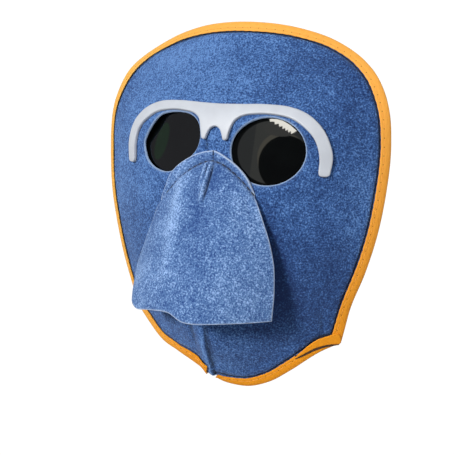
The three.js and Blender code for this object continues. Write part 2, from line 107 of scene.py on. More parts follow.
camera_data = bpy.data.cameras.new("camera")
camera_data.lens = FOCAL_LENGTH
camera_data.sensor_width = SENSOR_WIDTH
camera = bpy.data.objects.new("camera", camera_data)
bpy.context.collection.objects.link(camera)
camera.location = CAMERA_PLACE
camera.rotation_euler = (math.radians(90 - ELEVATION), 0, math.radians(AZIMUTH))
bpy.context.scene.camera = camera
bpy.context.scene.view_settings.view_transform = "Standard"


# %% Light
def sun(name, energy, spread, tilt, turn):
    """A far light of this size in degrees, tilted from overhead and turned from the front."""
    data = bpy.data.lights.new(name, "SUN")
    data.energy = energy
    data.color = (1.0, 0.985, 0.96)
    data.angle = math.radians(spread)
    light = bpy.data.objects.new(name, data)
    bpy.context.collection.objects.link(light)
    light.rotation_euler = (math.radians(tilt), 0, math.radians(turn))


sun("key", 3.2, 14, 63, -16)
sun("side", 1.25, 50, 78, 72)

world = bpy.data.worlds.new("white room")
world.use_nodes = True
room_light = world.node_tree.nodes["Background"].inputs
room_light["Color"].default_value = (0.94, 0.97, 1.0, 1)
room_light["Strength"].default_value = 0.27
bpy.context.scene.world = world

# %% Floor
FLOOR_DEPTH, FLOOR_RADIUS = 1.0, 7
DISH_STEPS = [(1.06, 0.1), (1.05, 0.4), (1.03, 0.9), (1.01, 1.6)]  # wider by, higher by

bpy.ops.object.select_all(action="DESELECT")
bpy.ops.mesh.primitive_circle_add(
    vertices=96, radius=FLOOR_RADIUS, fill_type="NGON", location=(0, 0, -FLOOR_DEPTH))
floor = bpy.context.object
floor.name = "floor"
bpy.ops.object.mode_set(mode="EDIT")
bpy.ops.mesh.select_all(action="SELECT")
for out, up in DISH_STEPS:
    bpy.ops.mesh.extrude_region_move(TRANSFORM_OT_translate={"value": (0, 0, up)})
    bpy.ops.transform.resize(value=(out, out, 1))
bpy.ops.mesh.delete(type="ONLY_FACE")
bpy.ops.mesh.select_all(action="SELECT")
bpy.ops.mesh.normals_make_consistent(inside=True)
bpy.ops.object.mode_set(mode="OBJECT")
settle(floor)
smooth(floor, 60)

# %% [markdown]
# ## The form of the suede
#
# A wet suede panel is pressed over a form, so it has one smooth surface: a height over every place
# seen from the front. The table gives its cross sections from the top down, as shares of the
# panel's height, half width and depth. A power of 1 is a straight V, and a higher one has a
# flatter middle whose sides turn back.

# %% Sizes of the panel
PANEL_WIDTH, PANEL_HEIGHT, PANEL_DEPTH = 237, 271, 60
BRIDGE_HEIGHT = 197
SEAT_DEPTH = 14
LEATHER = 2.2
CLEARANCE = 0.3
HALF = PANEL_WIDTH / 2

SECTIONS = np.array(
    [  # height, half width, middle, edge, power
        (1.022, 1.0, 0.9, 2.217, 2.0),
        (0.952, 1.0, 0.683, 1.583, 2.0),
        (0.878, 1.0, 0.458, 1.067, 2.1),
        (0.801, 1.0, 0.217, 0.867, 2.4),
        (0.727, 1.0, 0.033, 0.755, 2.7),
        (0.638, 1.0, -0.033, 0.708, 2.7),
        (0.517, 0.976, -0.117, 0.643, 2.4),
        (0.406, 0.928, -0.2, 0.608, 2.1),
        (0.295, 0.854, -0.267, 0.563, 1.8),
        (0.192, 0.768, -0.293, 0.533, 1.5),
        (0.137, 0.743, -0.242, 0.517, 1.3),
        (0.081, 0.743, -0.117, 0.517, 1.2),
        (-0.011, 0.743, 0.117, 0.55, 1.15),
    ]
)[::-1]


def level(share):
    return share * PANEL_HEIGHT - BRIDGE_HEIGHT


# %% The surface as a function
def unit(vectors):
    """The same directions, each with length 1."""
    return vectors / np.linalg.norm(vectors, axis=-1, keepdims=True)


def changes(rows):
    """What changes from the row before to the row after, at each row."""
    return np.concatenate([rows[1:2] - rows[:1], rows[2:] - rows[:-2], rows[-1:] - rows[-2:-1]])


def section(z):
    """The last four columns of the table at these levels, on smooth curves through the rows."""
    rows = level(SECTIONS[:, 0])
    slopes = changes(SECTIONS) / changes(rows)[:, None]
    i = np.clip(np.searchsorted(rows, z) - 1, 0, len(rows) - 2)
    step = rows[i + 1] - rows[i]
    t = (z - rows[i]) / step
    upper = t * t * (3 - 2 * t)
    parts = (
        (1 - upper, SECTIONS[i]), (upper, SECTIONS[i + 1]),
        ((t - 2 * t**2 + t**3) * step, slopes[i]), ((t**3 - t**2) * step, slopes[i + 1]))
    return sum(weight[..., None] * value for weight, value in parts)[..., 1:]


def suede(x, z):
    """How far back the front of the suede lies, from the seat of the mask."""
    width, middle, edge, power = np.moveaxis(section(np.asarray(z, float)), -1, 0)
    share = np.abs(x) / (HALF * width)
    return PANEL_DEPTH * (middle + (edge - middle) * share**power) - SEAT_DEPTH


def backward(surface, x, z, h=0.5):
    """The direction straight back out of a surface."""
    dx = (surface(x + h, z) - surface(x - h, z)) / (2 * h)
    dz = (surface(x, z + h) - surface(x, z - h)) / (2 * h)
    return unit(np.stack([-dx, np.ones_like(dx), -dz], axis=-1))


def on(surface, x, z, back=0.0):
    """Points on a surface, or behind it."""
    points = np.stack([x, surface(x, z), z], axis=-1)
    return points + backward(surface, x, z) * np.asarray(back)[..., None]


def parallel(surface, distance):
    """A surface at this distance behind another one."""
    return lambda x, z: surface(x, z) + distance / backward(surface, x, z)[..., 1]


def depth_at(surface, x, z):
    """How far back a surface lies at one place."""
    return float(surface(np.array([x]), np.array([z]))[0])


print("the suede lies", round(depth_at(suede, 0, 0), 1), "mm back at the bridge of the nose")

# %% [markdown]
# ## Curves for the outlines
#
# An outline is a smooth curve through a few places. Points are then spaced evenly along it, close
# enough that no corner shows.

# %% Curves
SUBSTEPS = 24


def way(points):
    """How far along a line each of its points lies."""
    return np.concatenate([[0], np.cumsum(np.linalg.norm(np.diff(points, axis=0), axis=1))])


def between(p, q, start, end, t):
    """The point at t on the straight way from p at the start to q at the end."""
    return p * (end - t) / (end - start) + q * (t - start) / (end - start)


def curve(points, spacing, closed=False):
    """Evenly spaced points on a smooth curve through the points."""
    points = [np.asarray(p, float) for p in points]
    around = [2 * points[0] - points[1], *points, 2 * points[-1] - points[-2]]
    if closed:
        around = [points[-1], *points, points[0], points[1]]
    fine = []
    for a, b, c, d in zip(around, around[1:], around[2:], around[3:]):
        knots = [0.0]
        for p, q in ((a, b), (b, c), (c, d)):
            knots.append(knots[-1] + max(np.linalg.norm(q - p), 1e-6) ** 0.5)
        t0, t1, t2, t3 = knots
        for t in np.linspace(t1, t2, SUBSTEPS, endpoint=False):
            ab = between(a, b, t0, t1, t)
            bc = between(b, c, t1, t2, t)
            cd = between(c, d, t2, t3, t)
            abc = between(ab, bc, t0, t2, t)
            bcd = between(bc, cd, t1, t3, t)
            fine.append(between(abc, bcd, t1, t2, t))
    fine.append(points[0] if closed else points[-1])
    fine = np.array(fine)
    run = way(fine)
    at = np.linspace(0, run[-1], max(2, round(run[-1] / spacing)) + 1)
    even = np.stack([np.interp(at, run, fine[:, k]) for k in range(fine.shape[1])], axis=-1)
    return even[:-1] if closed else even


def normals(loop, closed=True):
    """Directions to the left of the way along a loop."""
    ahead = np.roll(loop, -1, axis=0) - np.roll(loop, 1, axis=0)
    if not closed:
        ahead[0] = loop[1] - loop[0]
        ahead[-1] = loop[-1] - loop[-2]
    ahead = unit(ahead)
    return np.stack([-ahead[:, 1], ahead[:, 0]], axis=1)


def join(*stretches):
    """One closed loop of open stretches that start where the last one ended."""
    return np.concatenate([s[:-1] for s in stretches])


# %% The edge of the panel
def edge_points(*rows):
    """Places from shares of the half width and of the height."""
    return [(across * HALF, level(height)) for across, height in rows]


SIDE = edge_points(
    (0, 1.0), (0.222, 0.994), (0.394, 0.979), (0.57, 0.953), (0.776, 0.902), (0.893, 0.853),
    (0.973, 0.777), (1.0, 0.691), (0.991, 0.569), (0.956, 0.46), (0.886, 0.342), (0.802, 0.239))
RIGHT_CHIN = edge_points(
    (0.749, 0.141), (0.633, 0.115), (0.464, 0.059), (0.33, 0.02), (0.186, 0.0), (0.05, 0.01),
    (-0.003, 0.0245))
LEFT_CHIN = edge_points(
    (-0.755, 0.172), (-0.605, 0.132), (-0.447, 0.089), (-0.31, 0.0745), (-0.183, 0.0576),
    (-0.054, 0.034))
STEP = 0.9

other_side = [(-x, z) for x, z in SIDE[1:]]
right_chin = curve(RIGHT_CHIN[::-1], STEP)
round_edge = curve([RIGHT_CHIN[0], *SIDE[::-1], *other_side, LEFT_CHIN[0]], STEP)
left_chin = curve(LEFT_CHIN, STEP)
chin_tuck = curve([LEFT_CHIN[-1], RIGHT_CHIN[-1]], STEP)
rim = join(right_chin, round_edge, left_chin, chin_tuck)
print("the edge is", round(float(way(rim)[-1])), "mm long")

# %% [markdown]
# ## Cutting a piece to its pattern
#
# Sheet goods are cut flat. Here the pattern is filled with small triangles that follow its outline,
# its holes and its fold lines. A boolean cut in a grid would leave slivers along every edge, and
# these would show in the light, so a constrained triangulation is used. Every point knows how far
# it is from the nearest cut edge, which is what rounds the edges later.

# %% Distances on the pattern
def inside(points, loop):
    x, z = points[:, 0], points[:, 1]
    result = np.zeros(len(points), bool)
    for (x0, z0), (x1, z1) in zip(loop, np.roll(loop, -1, axis=0)):
        if z0 != z1:
            crosses = (z0 > z) != (z1 > z)
            result ^= crosses & (x < (x1 - x0) * (z - z0) / (z1 - z0) + x0)
    return result


def cut_edges(triangles):
    """The edges that only one triangle has, in its direction."""
    once = {}
    for a, b, c in triangles.tolist():
        for edge in ((a, b), (b, c), (c, a)):
            pair = (min(edge), max(edge))
            once[pair] = None if pair in once else edge
    return np.array([edge for edge in once.values() if edge is not None])


def tree_of(points):
    """A tree that finds the nearest of these points."""
    tree = kdtree.KDTree(len(points))
    for k, p in enumerate(points):
        tree.insert(p, k)
    tree.balance()
    return tree


def away_from(segments, points):
    """How far each point is from the nearest of the segments, on the pattern or in space."""
    missing = (0, 3 - segments.shape[-1])
    segments = np.pad(segments, [(0, 0), (0, 0), missing])
    points = np.pad(points, [(0, 0), missing])
    tree = tree_of(segments.mean(axis=1))
    near = np.array([[k for _, k, _ in tree.find_n(p, 3)] for p in points])
    a, b = segments[near, 0], segments[near, 1]
    run = b - a
    along = np.clip(((points[:, None] - a) * run).sum(-1) / (run * run).sum(-1), 0, 1)
    return np.linalg.norm(points[:, None] - a - along[..., None] * run, axis=-1).min(axis=1)


def as_segments(loop):
    return np.stack([loop, np.roll(loop, -1, axis=0)], axis=1)

# %% The pattern
NEAREST = 0.72


def cut_pattern(outlines, holes=(), folds=(), spacing=1.7, rims=(0.35, 0.9), rows=()):
    """A flat piece as points, triangles and each point's distance from the cut edge."""

    def in_piece(places):
        kept = np.any([inside(places, o) for o in outlines], axis=0)
        for hole in holes:
            kept &= ~inside(places, hole)
        return kept

    points, edges = [], []
    for number, loop in enumerate([*outlines, *holes]):
        start = len(points)
        points.extend(loop)
        edges.extend((start + k, start + (k + 1) % len(loop)) for k in range(len(loop)))
        side = normals(loop) * (1 if number < len(outlines) else -1)
        for depth in rims:
            points.extend(loop + side * depth)
    for fold in folds:
        start = len(points)
        points.extend(fold)
        edges.extend((start + k, start + k + 1) for k in range(len(fold) - 1))
    for row in rows:
        points.extend(row)
    everything = np.concatenate(outlines)
    low, high = everything.min(axis=0), everything.max(axis=0)
    levels = np.arange(low[1], high[1], spacing * math.sqrt(3) / 2)
    grid = np.array([
        (x + (spacing / 2 if j % 2 else 0), z)
        for j, z in enumerate(levels)
        for x in np.arange(low[0], high[0], spacing)])
    tree = tree_of([(*p, 0) for p in points])
    points.extend(p for p in grid[in_piece(grid)] if tree.find((*p, 0))[2] > NEAREST * spacing)
    made = geometry.delaunay_2d_cdt([Vector(p) for p in points], edges, [], 0, 1e-5)
    flat = np.array([tuple(v) for v in made[0]])
    triangles = np.array([f for f in made[2] if len(f) == 3])
    triangles = triangles[in_piece(flat[triangles].mean(axis=1))]
    a, b, c = (flat[triangles[:, k]] for k in range(3))
    turn = (b - a)[:, 0] * (c - a)[:, 1] - (b - a)[:, 1] * (c - a)[:, 0]
    triangles[turn < 0] = triangles[turn < 0][:, ::-1]
    used, fresh = np.unique(triangles, return_inverse=True)
    flat, triangles = flat[used], fresh.reshape(-1, 3)
    return flat, triangles, away_from(flat[cut_edges(triangles)], flat)


# %% [markdown]
# A sheet is a front layer and a back layer of the same points, with a wall round every cut edge, so
# it is a closed body. It carries painted values, which the finishes read: where its raw edge shows,
# where it is painted pale as wear and painted highlight, where its nap is painted lighter or darker,
# partly as painted light and shade, and where dirt and painted shadow sit.

# %% A closed sheet
RAW_EDGE = 0.7


def new_piece(name, points, faces):
    """An object with a mesh of these points, which are in millimetres."""
    mesh = bpy.data.meshes.new(name)
    mesh.from_pydata((np.asarray(points).reshape(-1, 3) * MM).tolist(), [], faces)
    mesh.update()
    piece = bpy.data.objects.new(name, mesh)
    bpy.context.collection.objects.link(piece)
    return piece


def paint(piece, name, values):
    """Give every point of a piece a value that a finish can read."""
    values = np.asarray(values, float)
    piece.data.attributes.new(name, "FLOAT", "POINT").data.foreach_set("value", values)


def body(name, pattern, front, back, raw=0.0, **painted):
    """A closed body between two layers of points, with painted values for the front layer."""
    flat, triangles, away = pattern
    count = len(flat)
    faces = [tuple(t) for t in triangles]
    faces += [(count + a, count + c, count + b) for a, b, c in triangles]
    faces += [(b, a, count + a, count + b) for a, b in cut_edges(triangles)]
    piece = new_piece(name, np.concatenate([front, back]), faces)
    paint(piece, "cut_edge", np.tile(np.clip(1.35 - away / RAW_EDGE + raw, 0, 1), 2))
    for value, at_front in painted.items():
        paint(piece, value, np.concatenate([at_front, np.zeros(count)]))
    return piece


def rounded(away, radius):
    """How far an edge that is rounded off falls back, at this distance from it."""
    inward = np.clip(away / radius, 0, 1)
    return radius * (1 - np.sqrt(1 - (1 - inward) ** 2))


def bell(value, middle, width):
    """1 at the middle, and falling to 0 on both sides."""
    return np.exp(-(((value - middle) / width) ** 2))


def waves(points, *layers):
    """Soft uneven height in layers, each with its height, the size of its bumps and a seed."""
    total = 0
    for height, size, seed in layers:
        shift = Vector((seed * 17.3, seed * 5.1, 0))
        bumps = [noise.noise(Vector((p[0] / size, p[1] / size, 0)) + shift) for p in points]
        total = total + height * np.array(bumps)
    return total


# %% [markdown]
# ## The face panel
#
# The panel is cut with two eye holes. The one on the left was cut flatter on its outer side, so it
# has its own outline. At the chin the left side is lapped over the right one, which makes a step on
# the middle line. Low waves over the whole sheet keep the light on it from being too even.

# %% Eye holes
EYE_WIDTH, EYE_HEIGHT, EYE_X, EYE_Z = 55, 48, 40.5, -15.5


def oval(x, z, width, height, count):
    turn = np.linspace(0, 2 * math.pi, count, endpoint=False)
    return np.stack([x + width / 2 * np.cos(turn), z + height / 2 * np.sin(turn)], axis=1)


right_hole = oval(EYE_X, EYE_Z, EYE_WIDTH, EYE_HEIGHT, 180)
left_hole = curve([
    (-13.2, -10), (-14.4, -0.5), (-18.6, 5), (-25, 8.2), (-33, 9.3), (-43, 8.6), (-50.7, 6.6),
    (-55.6, 2.4), (-60, -4), (-64.2, -11.2), (-66.2, -16.4), (-64.6, -23), (-61, -28.8), (-55.8, -32.4),
    (-46, -35.3), (-37, -34.4), (-29, -29), (-22, -24), (-16, -17.6)], 1.0, closed=True)


# %% Folds and dents in the panel
TUCK_HEIGHT, TUCK_WIDTH, TUCK_LENGTH = 2.6, 14, 78


def ease(value):
    """From 0 to 1 with a soft start and a soft end."""
    value = np.clip(value, 0, 1)
    return value * value * (3 - 2 * value)


def tuck(x, z):
    """The lap at the chin, which stands off more and more towards the edge."""
    low = ease((-z - (BRIDGE_HEIGHT - TUCK_LENGTH)) / TUCK_LENGTH)
    across = -x / TUCK_WIDTH
    rise = (1 - ease((across - 0.3) / 0.7)) * np.clip(across / 0.05, 0, 1)
    return TUCK_HEIGHT * low * np.where((across > 0) & (across < 1), rise, 0)


def groove(x, z, start, end, width, depth):
    """A soft furrow along a line, which fades at both ends. A negative depth is a ridge."""
    start, end = np.array(start, float), np.array(end, float)
    length = np.linalg.norm(end - start)
    ahead = (end - start) / length
    dx, dz = x - start[0], z - start[1]
    down = (dx * ahead[0] + dz * ahead[1]) / length
    across = np.abs(dz * ahead[0] - dx * ahead[1])
    along = np.clip(np.sin(math.pi * np.clip(down, 0, 1)), 0, 1) ** 0.6
    return -depth * along * bell(across, 0, width)


def grooves(x, z, table):
    return sum(groove(x, z, *row) for row in table)


PANEL_CREASES = [  # start, end, width, depth
    ((-7.4, -8), (-6, -18.5), 1.0, 1.1), ((77.8, -132), (76.3, -155), 1.1, 0.8),
    ((2.2, -136), (2.6, -186), 2.2, 0.7), ((-4.5, -138), (-3, -176), 2.6, -0.5),
    ((-17, -126), (-11, -166), 3.0, 0.9)]

# %% [markdown]
# The sewn tape bites into the suede along its inner edge. That furrow is in deep shadow on the real
# mask, and dust and thread darken it too, so it is pressed into the sheet and painted dark, as dirt
# and painted shade. The lap step and the deeper creases are painted dark in the same way. The tape
# was laid by hand: its second length starts narrow at the chin, and the first one ends wide there.
# The nap is painted darker at the right and lighter at the upper left, partly as its own tone and
# partly as painted light and shade, with a painted shadow along the flap's right edge. The leather
# along the lap at the open chin is painted paler, as wear and painted highlight, and its end is raw.

# %% The tape's place on the panel
TAPE, TAPE_SLACK, TAPE_WIDTH = 1.0, 0.5, 8.5
TAPE_FRONT = -TAPE_SLACK - TAPE
TAPE_BACK = LEATHER - TAPE_FRONT
CHIN_LEVEL = -150

tongue_outline = curve([
    (59.5, -170.3), (65.5, -166.7), (69.3, -164.2), (73.5, -161.7), (78.1, -160), (82.5, -159),
    (87, -158.8), (89.3, -158.6), (89.6, -153), (87.5, -150.3), (83, -151.9), (79.7, -153),
    (75.8, -154.5), (71.8, -157.4), (68.4, -160.5), (64.5, -164.6), (60.7, -168.6)], 0.8, closed=True)


def tape_reach(x, z):
    """How far in the tape reaches from the edge of the suede."""
    narrow = np.where(x > -2, 5 * np.exp(-np.maximum(x, 0) / 9), 0)
    wide = np.where(x < -2, 2.8 * ease((x + 34) / 16), 0)
    return TAPE_WIDTH + np.where(z < CHIN_LEVEL, wide - narrow, 0)


def tape_frame(loop):
    """The direction inwards on the suede, and the way run, at each point of the edge."""
    ahead = np.gradient(on(suede, *loop.T), axis=0)
    inward = unit(np.cross(ahead, backward(suede, *loop.T)))
    return inward[:, [0, 2]], way(loop)


# %% Patches painted lighter or darker on the nap, as its own tone and as painted light and shade
NAP_AND_SHADE_PATCHES = [  # across, height, size, lighter or darker
    (40, 45, 45, 0.03), (95, 30, 45, -0.26), (-40, 40, 50, 0.25), (-95, -45, 50, 0.12),
    (98, -60, 45, -0.02), (70, -115, 40, -0.28), (35, -150, 35, -0.1)]


def brushed_nap(x, z):
    total = 0.06
    for across, height, size, amount in NAP_AND_SHADE_PATCHES:
        total = total + amount * np.exp(-((x - across) ** 2 + (z - height) ** 2) / size**2)
    # A painted shadow that the flap casts runs down along its right edge.
    return total + groove(x, z, (40, -46), (58, -142), 9, 0.5)


# %% Cut the panel
BITE_ROWS = (-0.9, -0.2, 0.3, 0.8, 1.4, 2.1)  # millimetres in from the tape's inner edge

panel_edge = rim - normals(rim) * TAPE_FRONT
fold_level = np.arange(-125, -178, -0.8)
laps = [np.stack([np.full_like(fold_level, x), fold_level], axis=1) for x in (0.0, -0.7)]
rim_inward, _ = tape_frame(rim)
rim_reach = tape_reach(*rim.T)[:, None]
bite_rows = [rim + rim_inward * (rim_reach + step) for step in BITE_ROWS]
panel_pattern = cut_pattern([panel_edge], [right_hole, left_hole], laps, rows=bite_rows)
print("the panel's pattern has", len(panel_pattern[1]), "triangles")

# %% Shape the panel
BITE_DEPTH, SWELL_HEIGHT, HOLE_SINK = 0.75, 0.5, 0.35

flat, _, away = panel_pattern
x, z = flat.T
from_rim = away_from(as_segments(on(suede, *rim.T)), on(suede, x, z)) - tape_reach(x, z)
from_rim = np.minimum(from_rim, away_from(as_segments(tongue_outline), flat))
bite = bell(from_rim, 0.4, 0.75)
creases = grooves(x, z, PANEL_CREASES)
relief = tuck(x, z) + waves(flat, (0.55, 30, 1), (0.25, 10, 2)) + creases
relief += SWELL_HEIGHT * bell(from_rim, 4, 3) - BITE_DEPTH * bite - rounded(away, 0.9)
relief -= HOLE_SINK * np.clip(1 - away / 5, 0, 1) * (from_rim > 4)
front = on(suede, x, z, -relief)
back = on(suede, x, z, LEATHER - 0.5 * rounded(away, 0.4))
lap_step = bell(x, 0.4, 0.8) * ease((-z - 128) / 30)
# Dirt and painted shade: the tape's furrow, the lap step and the deeper creases are painted dark.
soiled = np.clip(bite + 0.9 * lap_step + np.clip(-creases - 0.3, 0, 1), 0, 1)
# Painted paler along the lap at the chin, as wear and painted highlight.
rubbed = 1.3 * ease((-z - 140) / 20) * bell(x, -2.6, 1.9)
from_tuck = away_from(np.stack([chin_tuck[:-1], chin_tuck[1:]], axis=1), flat)
raw = np.clip(2.0 * np.exp(-from_tuck / 1.7) - 0.4, 0, 1)
face_panel = body(
    "suede_panel", panel_pattern, front, back, raw, soiled=soiled, rubbed=rubbed,
    brushed=brushed_nap(x, z))
smooth(face_panel, 50)

# %% [markdown]
# ## The nose flap
#
# The flap is a second piece of suede, sewn on along an arch below the eyes. Above the seam it lies
# flat on the panel. Below the seam it stands off, held out by a pleat that is caught in the seam on
# the middle line. Its sides and hem are raw.

# %% Outline of the flap
FLAP_WIDTH, FLAP_LENGTH, FLAP_TOP, FLAP_LIFT, FLAP_FLARE = 118, 117, 16.5, 32, 10
SEAM_INSET, SEAM_SPREAD, SEAM_CURVE, LIFT_CURVE = 7.5, 0.47, 1.7, 0.8
FLAP_ROWS = [  # height, left, right
    (0.0, 0.0, 0.0), (0.015, 0.15, 0.09), (0.04, 0.28, 0.19), (0.09, 0.45, 0.35), (0.16, 0.6, 0.49),
    (0.26, 0.69, 0.6), (0.38, 0.77, 0.722), (0.52, 0.86, 0.842), (0.67, 0.97, 0.925),
    (0.82, 1.08, 0.955), (0.92, 1.05, 0.955), (1.0, 0.95, 0.95)]
HEM_ROWS = [  # height, across
    (1.014, -0.86), (0.993, -0.66), (0.974, -0.48), (0.96, -0.22), (0.998, 0.03), (1.0, 0.5)]


def flap_place(height, across):
    return (across * FLAP_WIDTH / 2, -FLAP_TOP - height * FLAP_LENGTH)


flap_left = [flap_place(height, -left) for height, left, _ in FLAP_ROWS]
flap_right = [flap_place(height, right) for height, _, right in FLAP_ROWS]
hem = [flap_place(height, across) for height, across in HEM_ROWS]
flap_outline = join(
    curve([flap_left[-1], *hem, flap_right[-1]], 1.0), curve(flap_right[::-1], 1.0),
    curve(flap_left, 1.0))
print("the flap's outline is", round(float(way(flap_outline)[-1])), "mm long")


# %% The flap's surface
def below_seam(x, z):
    arch = SEAM_SPREAD * FLAP_LENGTH * np.abs(x / (FLAP_WIDTH / 2)) ** SEAM_CURVE
    return -z - FLAP_TOP - SEAM_INSET - arch


def flap_surface(x, z):
    share = np.maximum(0, below_seam(x, z)) / (FLAP_LENGTH - SEAM_INSET)
    left = np.maximum(0, -x / (FLAP_WIDTH / 2))
    flare = FLAP_FLARE * left**2 * np.minimum(1, 2 * share) ** 2
    flat_on = parallel(suede, -CLEARANCE - LEATHER)(x, z)
    return flat_on - FLAP_LIFT * share**LIFT_CURVE - flare


def seam_at(share):
    """The place on the seam at a share of the flap's half width."""
    drop = SEAM_INSET + SEAM_SPREAD * FLAP_LENGTH * np.abs(share) ** SEAM_CURVE
    return np.stack([share * FLAP_WIDTH / 2, -FLAP_TOP - drop], axis=-1)


# %% [markdown]
# The stitches pull the seam in, so a narrow furrow runs along it, with a soft swelling on both
# sides, and the furrow is painted dark as dirt and painted shade. The pleat is a ridge that starts
# at the seam and leans to the left, painted paler on its crest as wear and painted highlight, with a
# deep painted shadow line on its right, and the leather sinks beside its foot under painted shade.

# %% Seam, pleat and dents of the flap
# Painted shadow lines beside the pleat, which are also pressed in as thin furrows.
DARK_LINES = [  # start, end, width, depth
    ((2.7, -24), (0.2, -52), 0.6, 1.3), ((-1.6, -25), (-2.8, -37), 0.4, 1.0),
    ((0.3, -15.5), (0.7, -24.5), 0.5, 1.0)]
FLAP_FOLDS = [
    ((0.4, -23.5), (-2.4, -53), 1.8, -2.4), ((-3.4, -24.5), (-5.4, -40), 1.2, -1.7),
    ((6, -26), (4, -50), 3.6, 1.1), ((-17, -43), (-4, -54), 4, 1.9), ((-3, -52), (0, -74), 6, 2.4),
    ((22, -58), (33, -63.5), 1.2, 1.1), ((20, -62), (30, -67.5), 1.4, -0.9),
    ((30, -48), (37, -60), 1.6, 0.8), ((-25, -26), (-20, -110), 6, -1.3)]
# Painted paler along the pleat's ridges and the broad fold on the left: partly rubbed nap, partly painted
# highlight.
PALE_LINES = [
    ((0.6, -23.5), (-2.2, -53), 1.0, -1.3), ((-3.4, -24.5), (-5.4, -40), 0.9, -1.1),
    ((-25, -24), (-20, -108), 5, -0.75)]
# Painted shade in the dents beside the pleat's foot and the seam.
DENT_SHADES = [
    ((-17, -43), (-4, -54), 5, 0.2), ((-3, -50), (0, -74), 6, 0.26), ((6, -24), (4, -50), 3, 0.14)]

# %% Cut and shape the flap
seam = seam_at(np.linspace(-0.66, 0.6, 110))
pleat_line = curve([(2.6, -25.4), (1.8, -36), (0.3, -51)], 0.5)
pleat_rows = [pleat_line + (across, 0) for across in np.arange(-8.6, 3, 0.6) if abs(across) > 0.1]
flap_pattern = cut_pattern([flap_outline], [], [seam, pleat_line], spacing=1.25, rows=pleat_rows)
flat, _, away = flap_pattern
x, z = flat.T
below = below_seam(x, z)
furrow = bell(below, 0, 0.75)
pillow = 0.35 * bell(below, -3.5, 2.2) + 0.5 * bell(below, 3.2, 2.4)
dark = np.clip(-grooves(x, z, DARK_LINES), 0, 1)
folds = grooves(x, z, FLAP_FOLDS) - 1.2 * dark
relief = folds + pillow - furrow + waves(flat, (0.45, 26, 5), (0.2, 9, 6))
lifted = np.clip(below / 6, 0, 1)
front = on(flap_surface, x, z, rounded(away, 0.7) - relief)
hollow = lifted * 0.8 * np.minimum(relief, 0)
back = on(flap_surface, x, z, LEATHER - hollow - 0.5 * rounded(away, 0.4))
# The flap is painted lighter at both sides and darker in the middle, partly as its own tone and partly as
# painted light and shade; the dents add painted shade.
brushed = 0.12 * ease((-x - 8) / 28) + 0.09 * ease((x - 8) / 24) - 0.07
nose_flap = body(
    "suede_flap", flap_pattern, front, back, soiled=np.clip(0.45 * furrow + 0.85 * dark, 0, 1),
    rubbed=np.clip(grooves(x, z, PALE_LINES), 0, 1), brushed=brushed + grooves(x, z, DENT_SHADES))
smooth(nose_flap, 50)

# %% [markdown]
# ## The edge tape
#
# The tape is folded in half over the raw edge and sewn through. Its section is a narrow U, which is
# drawn once and carried along the edge. A second length starts at the lower right corner, where the
# first one is turned in over it.

# %% The tape's section
def tape_section():
    """Places round the U: how far in from the edge, and how far back from the front of the suede."""
    middle, radius = (TAPE_BACK + TAPE_FRONT) / 2, (TAPE_BACK - TAPE_FRONT) / 2
    turn = np.linspace(-math.pi / 2, math.pi / 2, 9)
    bend = [(1.5 * (1 - math.cos(t)), middle + radius * math.sin(t)) for t in turn]
    return np.array([
        (TAPE_WIDTH + 0.25, TAPE_FRONT + 0.35), (TAPE_WIDTH - 0.1, TAPE_FRONT + 0.02),
        (TAPE_WIDTH - 1.4, TAPE_FRONT - 0.08), (TAPE_WIDTH - 2.3, TAPE_FRONT + 0.12),
        (TAPE_WIDTH - 3.2, TAPE_FRONT - 0.12), (TAPE_WIDTH * 0.4, TAPE_FRONT - 0.2), *bend,
        (TAPE_WIDTH * 0.5, TAPE_BACK + 0.15), (TAPE_WIDTH, TAPE_BACK),
        (TAPE_WIDTH + 0.25, TAPE_BACK - 0.4), (TAPE_WIDTH, TAPE_BACK - TAPE), (TAPE, TAPE_BACK - TAPE),
        (TAPE, -TAPE_SLACK), (TAPE_WIDTH, -TAPE_SLACK)])


def outward(piece):
    """Turn all faces of a closed body outwards."""
    pick(piece)
    bpy.ops.object.mode_set(mode="EDIT")
    bpy.ops.mesh.select_all(action="SELECT")
    bpy.ops.mesh.normals_make_consistent(inside=False)
    bpy.ops.object.mode_set(mode="OBJECT")


def ring_body(name, rows, along, across):
    """A closed body swept through rows of points, painted with the way along and across it."""
    rows = np.asarray(rows)
    length, count = rows.shape[:2]
    faces = []
    for r in range(length - 1):
        for k in range(count):
            a, b = r * count + k, r * count + (k + 1) % count
            faces.append((a, b, b + count, a + count))
    last = (length - 1) * count
    faces.append(tuple(reversed(range(count))))
    faces.append(tuple(last + k for k in range(count)))
    piece = new_piece(name, rows, faces)
    paint(piece, "along", np.repeat(along, count))
    paint(piece, "across", np.tile(across, length))
    outward(piece)
    return piece


# %% Sweep the tape
STITCH_PITCH, STITCH_LINE = 6.4, TAPE_WIDTH - 2.3


def tape(name, loop, seed):
    """The tape along a stretch of the edge, pinched a little at every stitch."""
    inward, run = tape_frame(loop)
    stretch = tape_reach(*loop.T) / TAPE_WIDTH
    section = tape_section()
    pinch = np.cos(2 * math.pi * run / STITCH_PITCH)
    drift = np.array([noise.noise(Vector((s / 21, seed, 0))) for s in run])
    ripple = np.array([noise.noise(Vector((s / 7, seed, 4))) for s in run])
    rows = []
    for along, out in section:
        reach = along * stretch + (0.1 * pinch + 0.4 * drift) * (along / TAPE_WIDTH) ** 2
        x, z = (loop + inward * reach[:, None]).T
        puff = 0.09 * ripple + 0.05 * pinch * bell(along, STITCH_LINE, 1)
        lift = (tuck(x, z) + puff) if out < 0 else 0.0
        rows.append(on(suede, x, z, out - lift))
    piece = ring_body(name, np.swapaxes(np.array(rows), 0, 1), run, section[:, 0])
    smooth(piece, 60)
    return piece


side_loop = np.concatenate([round_edge[:-1], left_chin])
chin_loop = right_chin[:-1]
edge_tape = tape("edge_tape", side_loop, 1)
chin_tape = tape("chin_tape", chin_loop, 2)

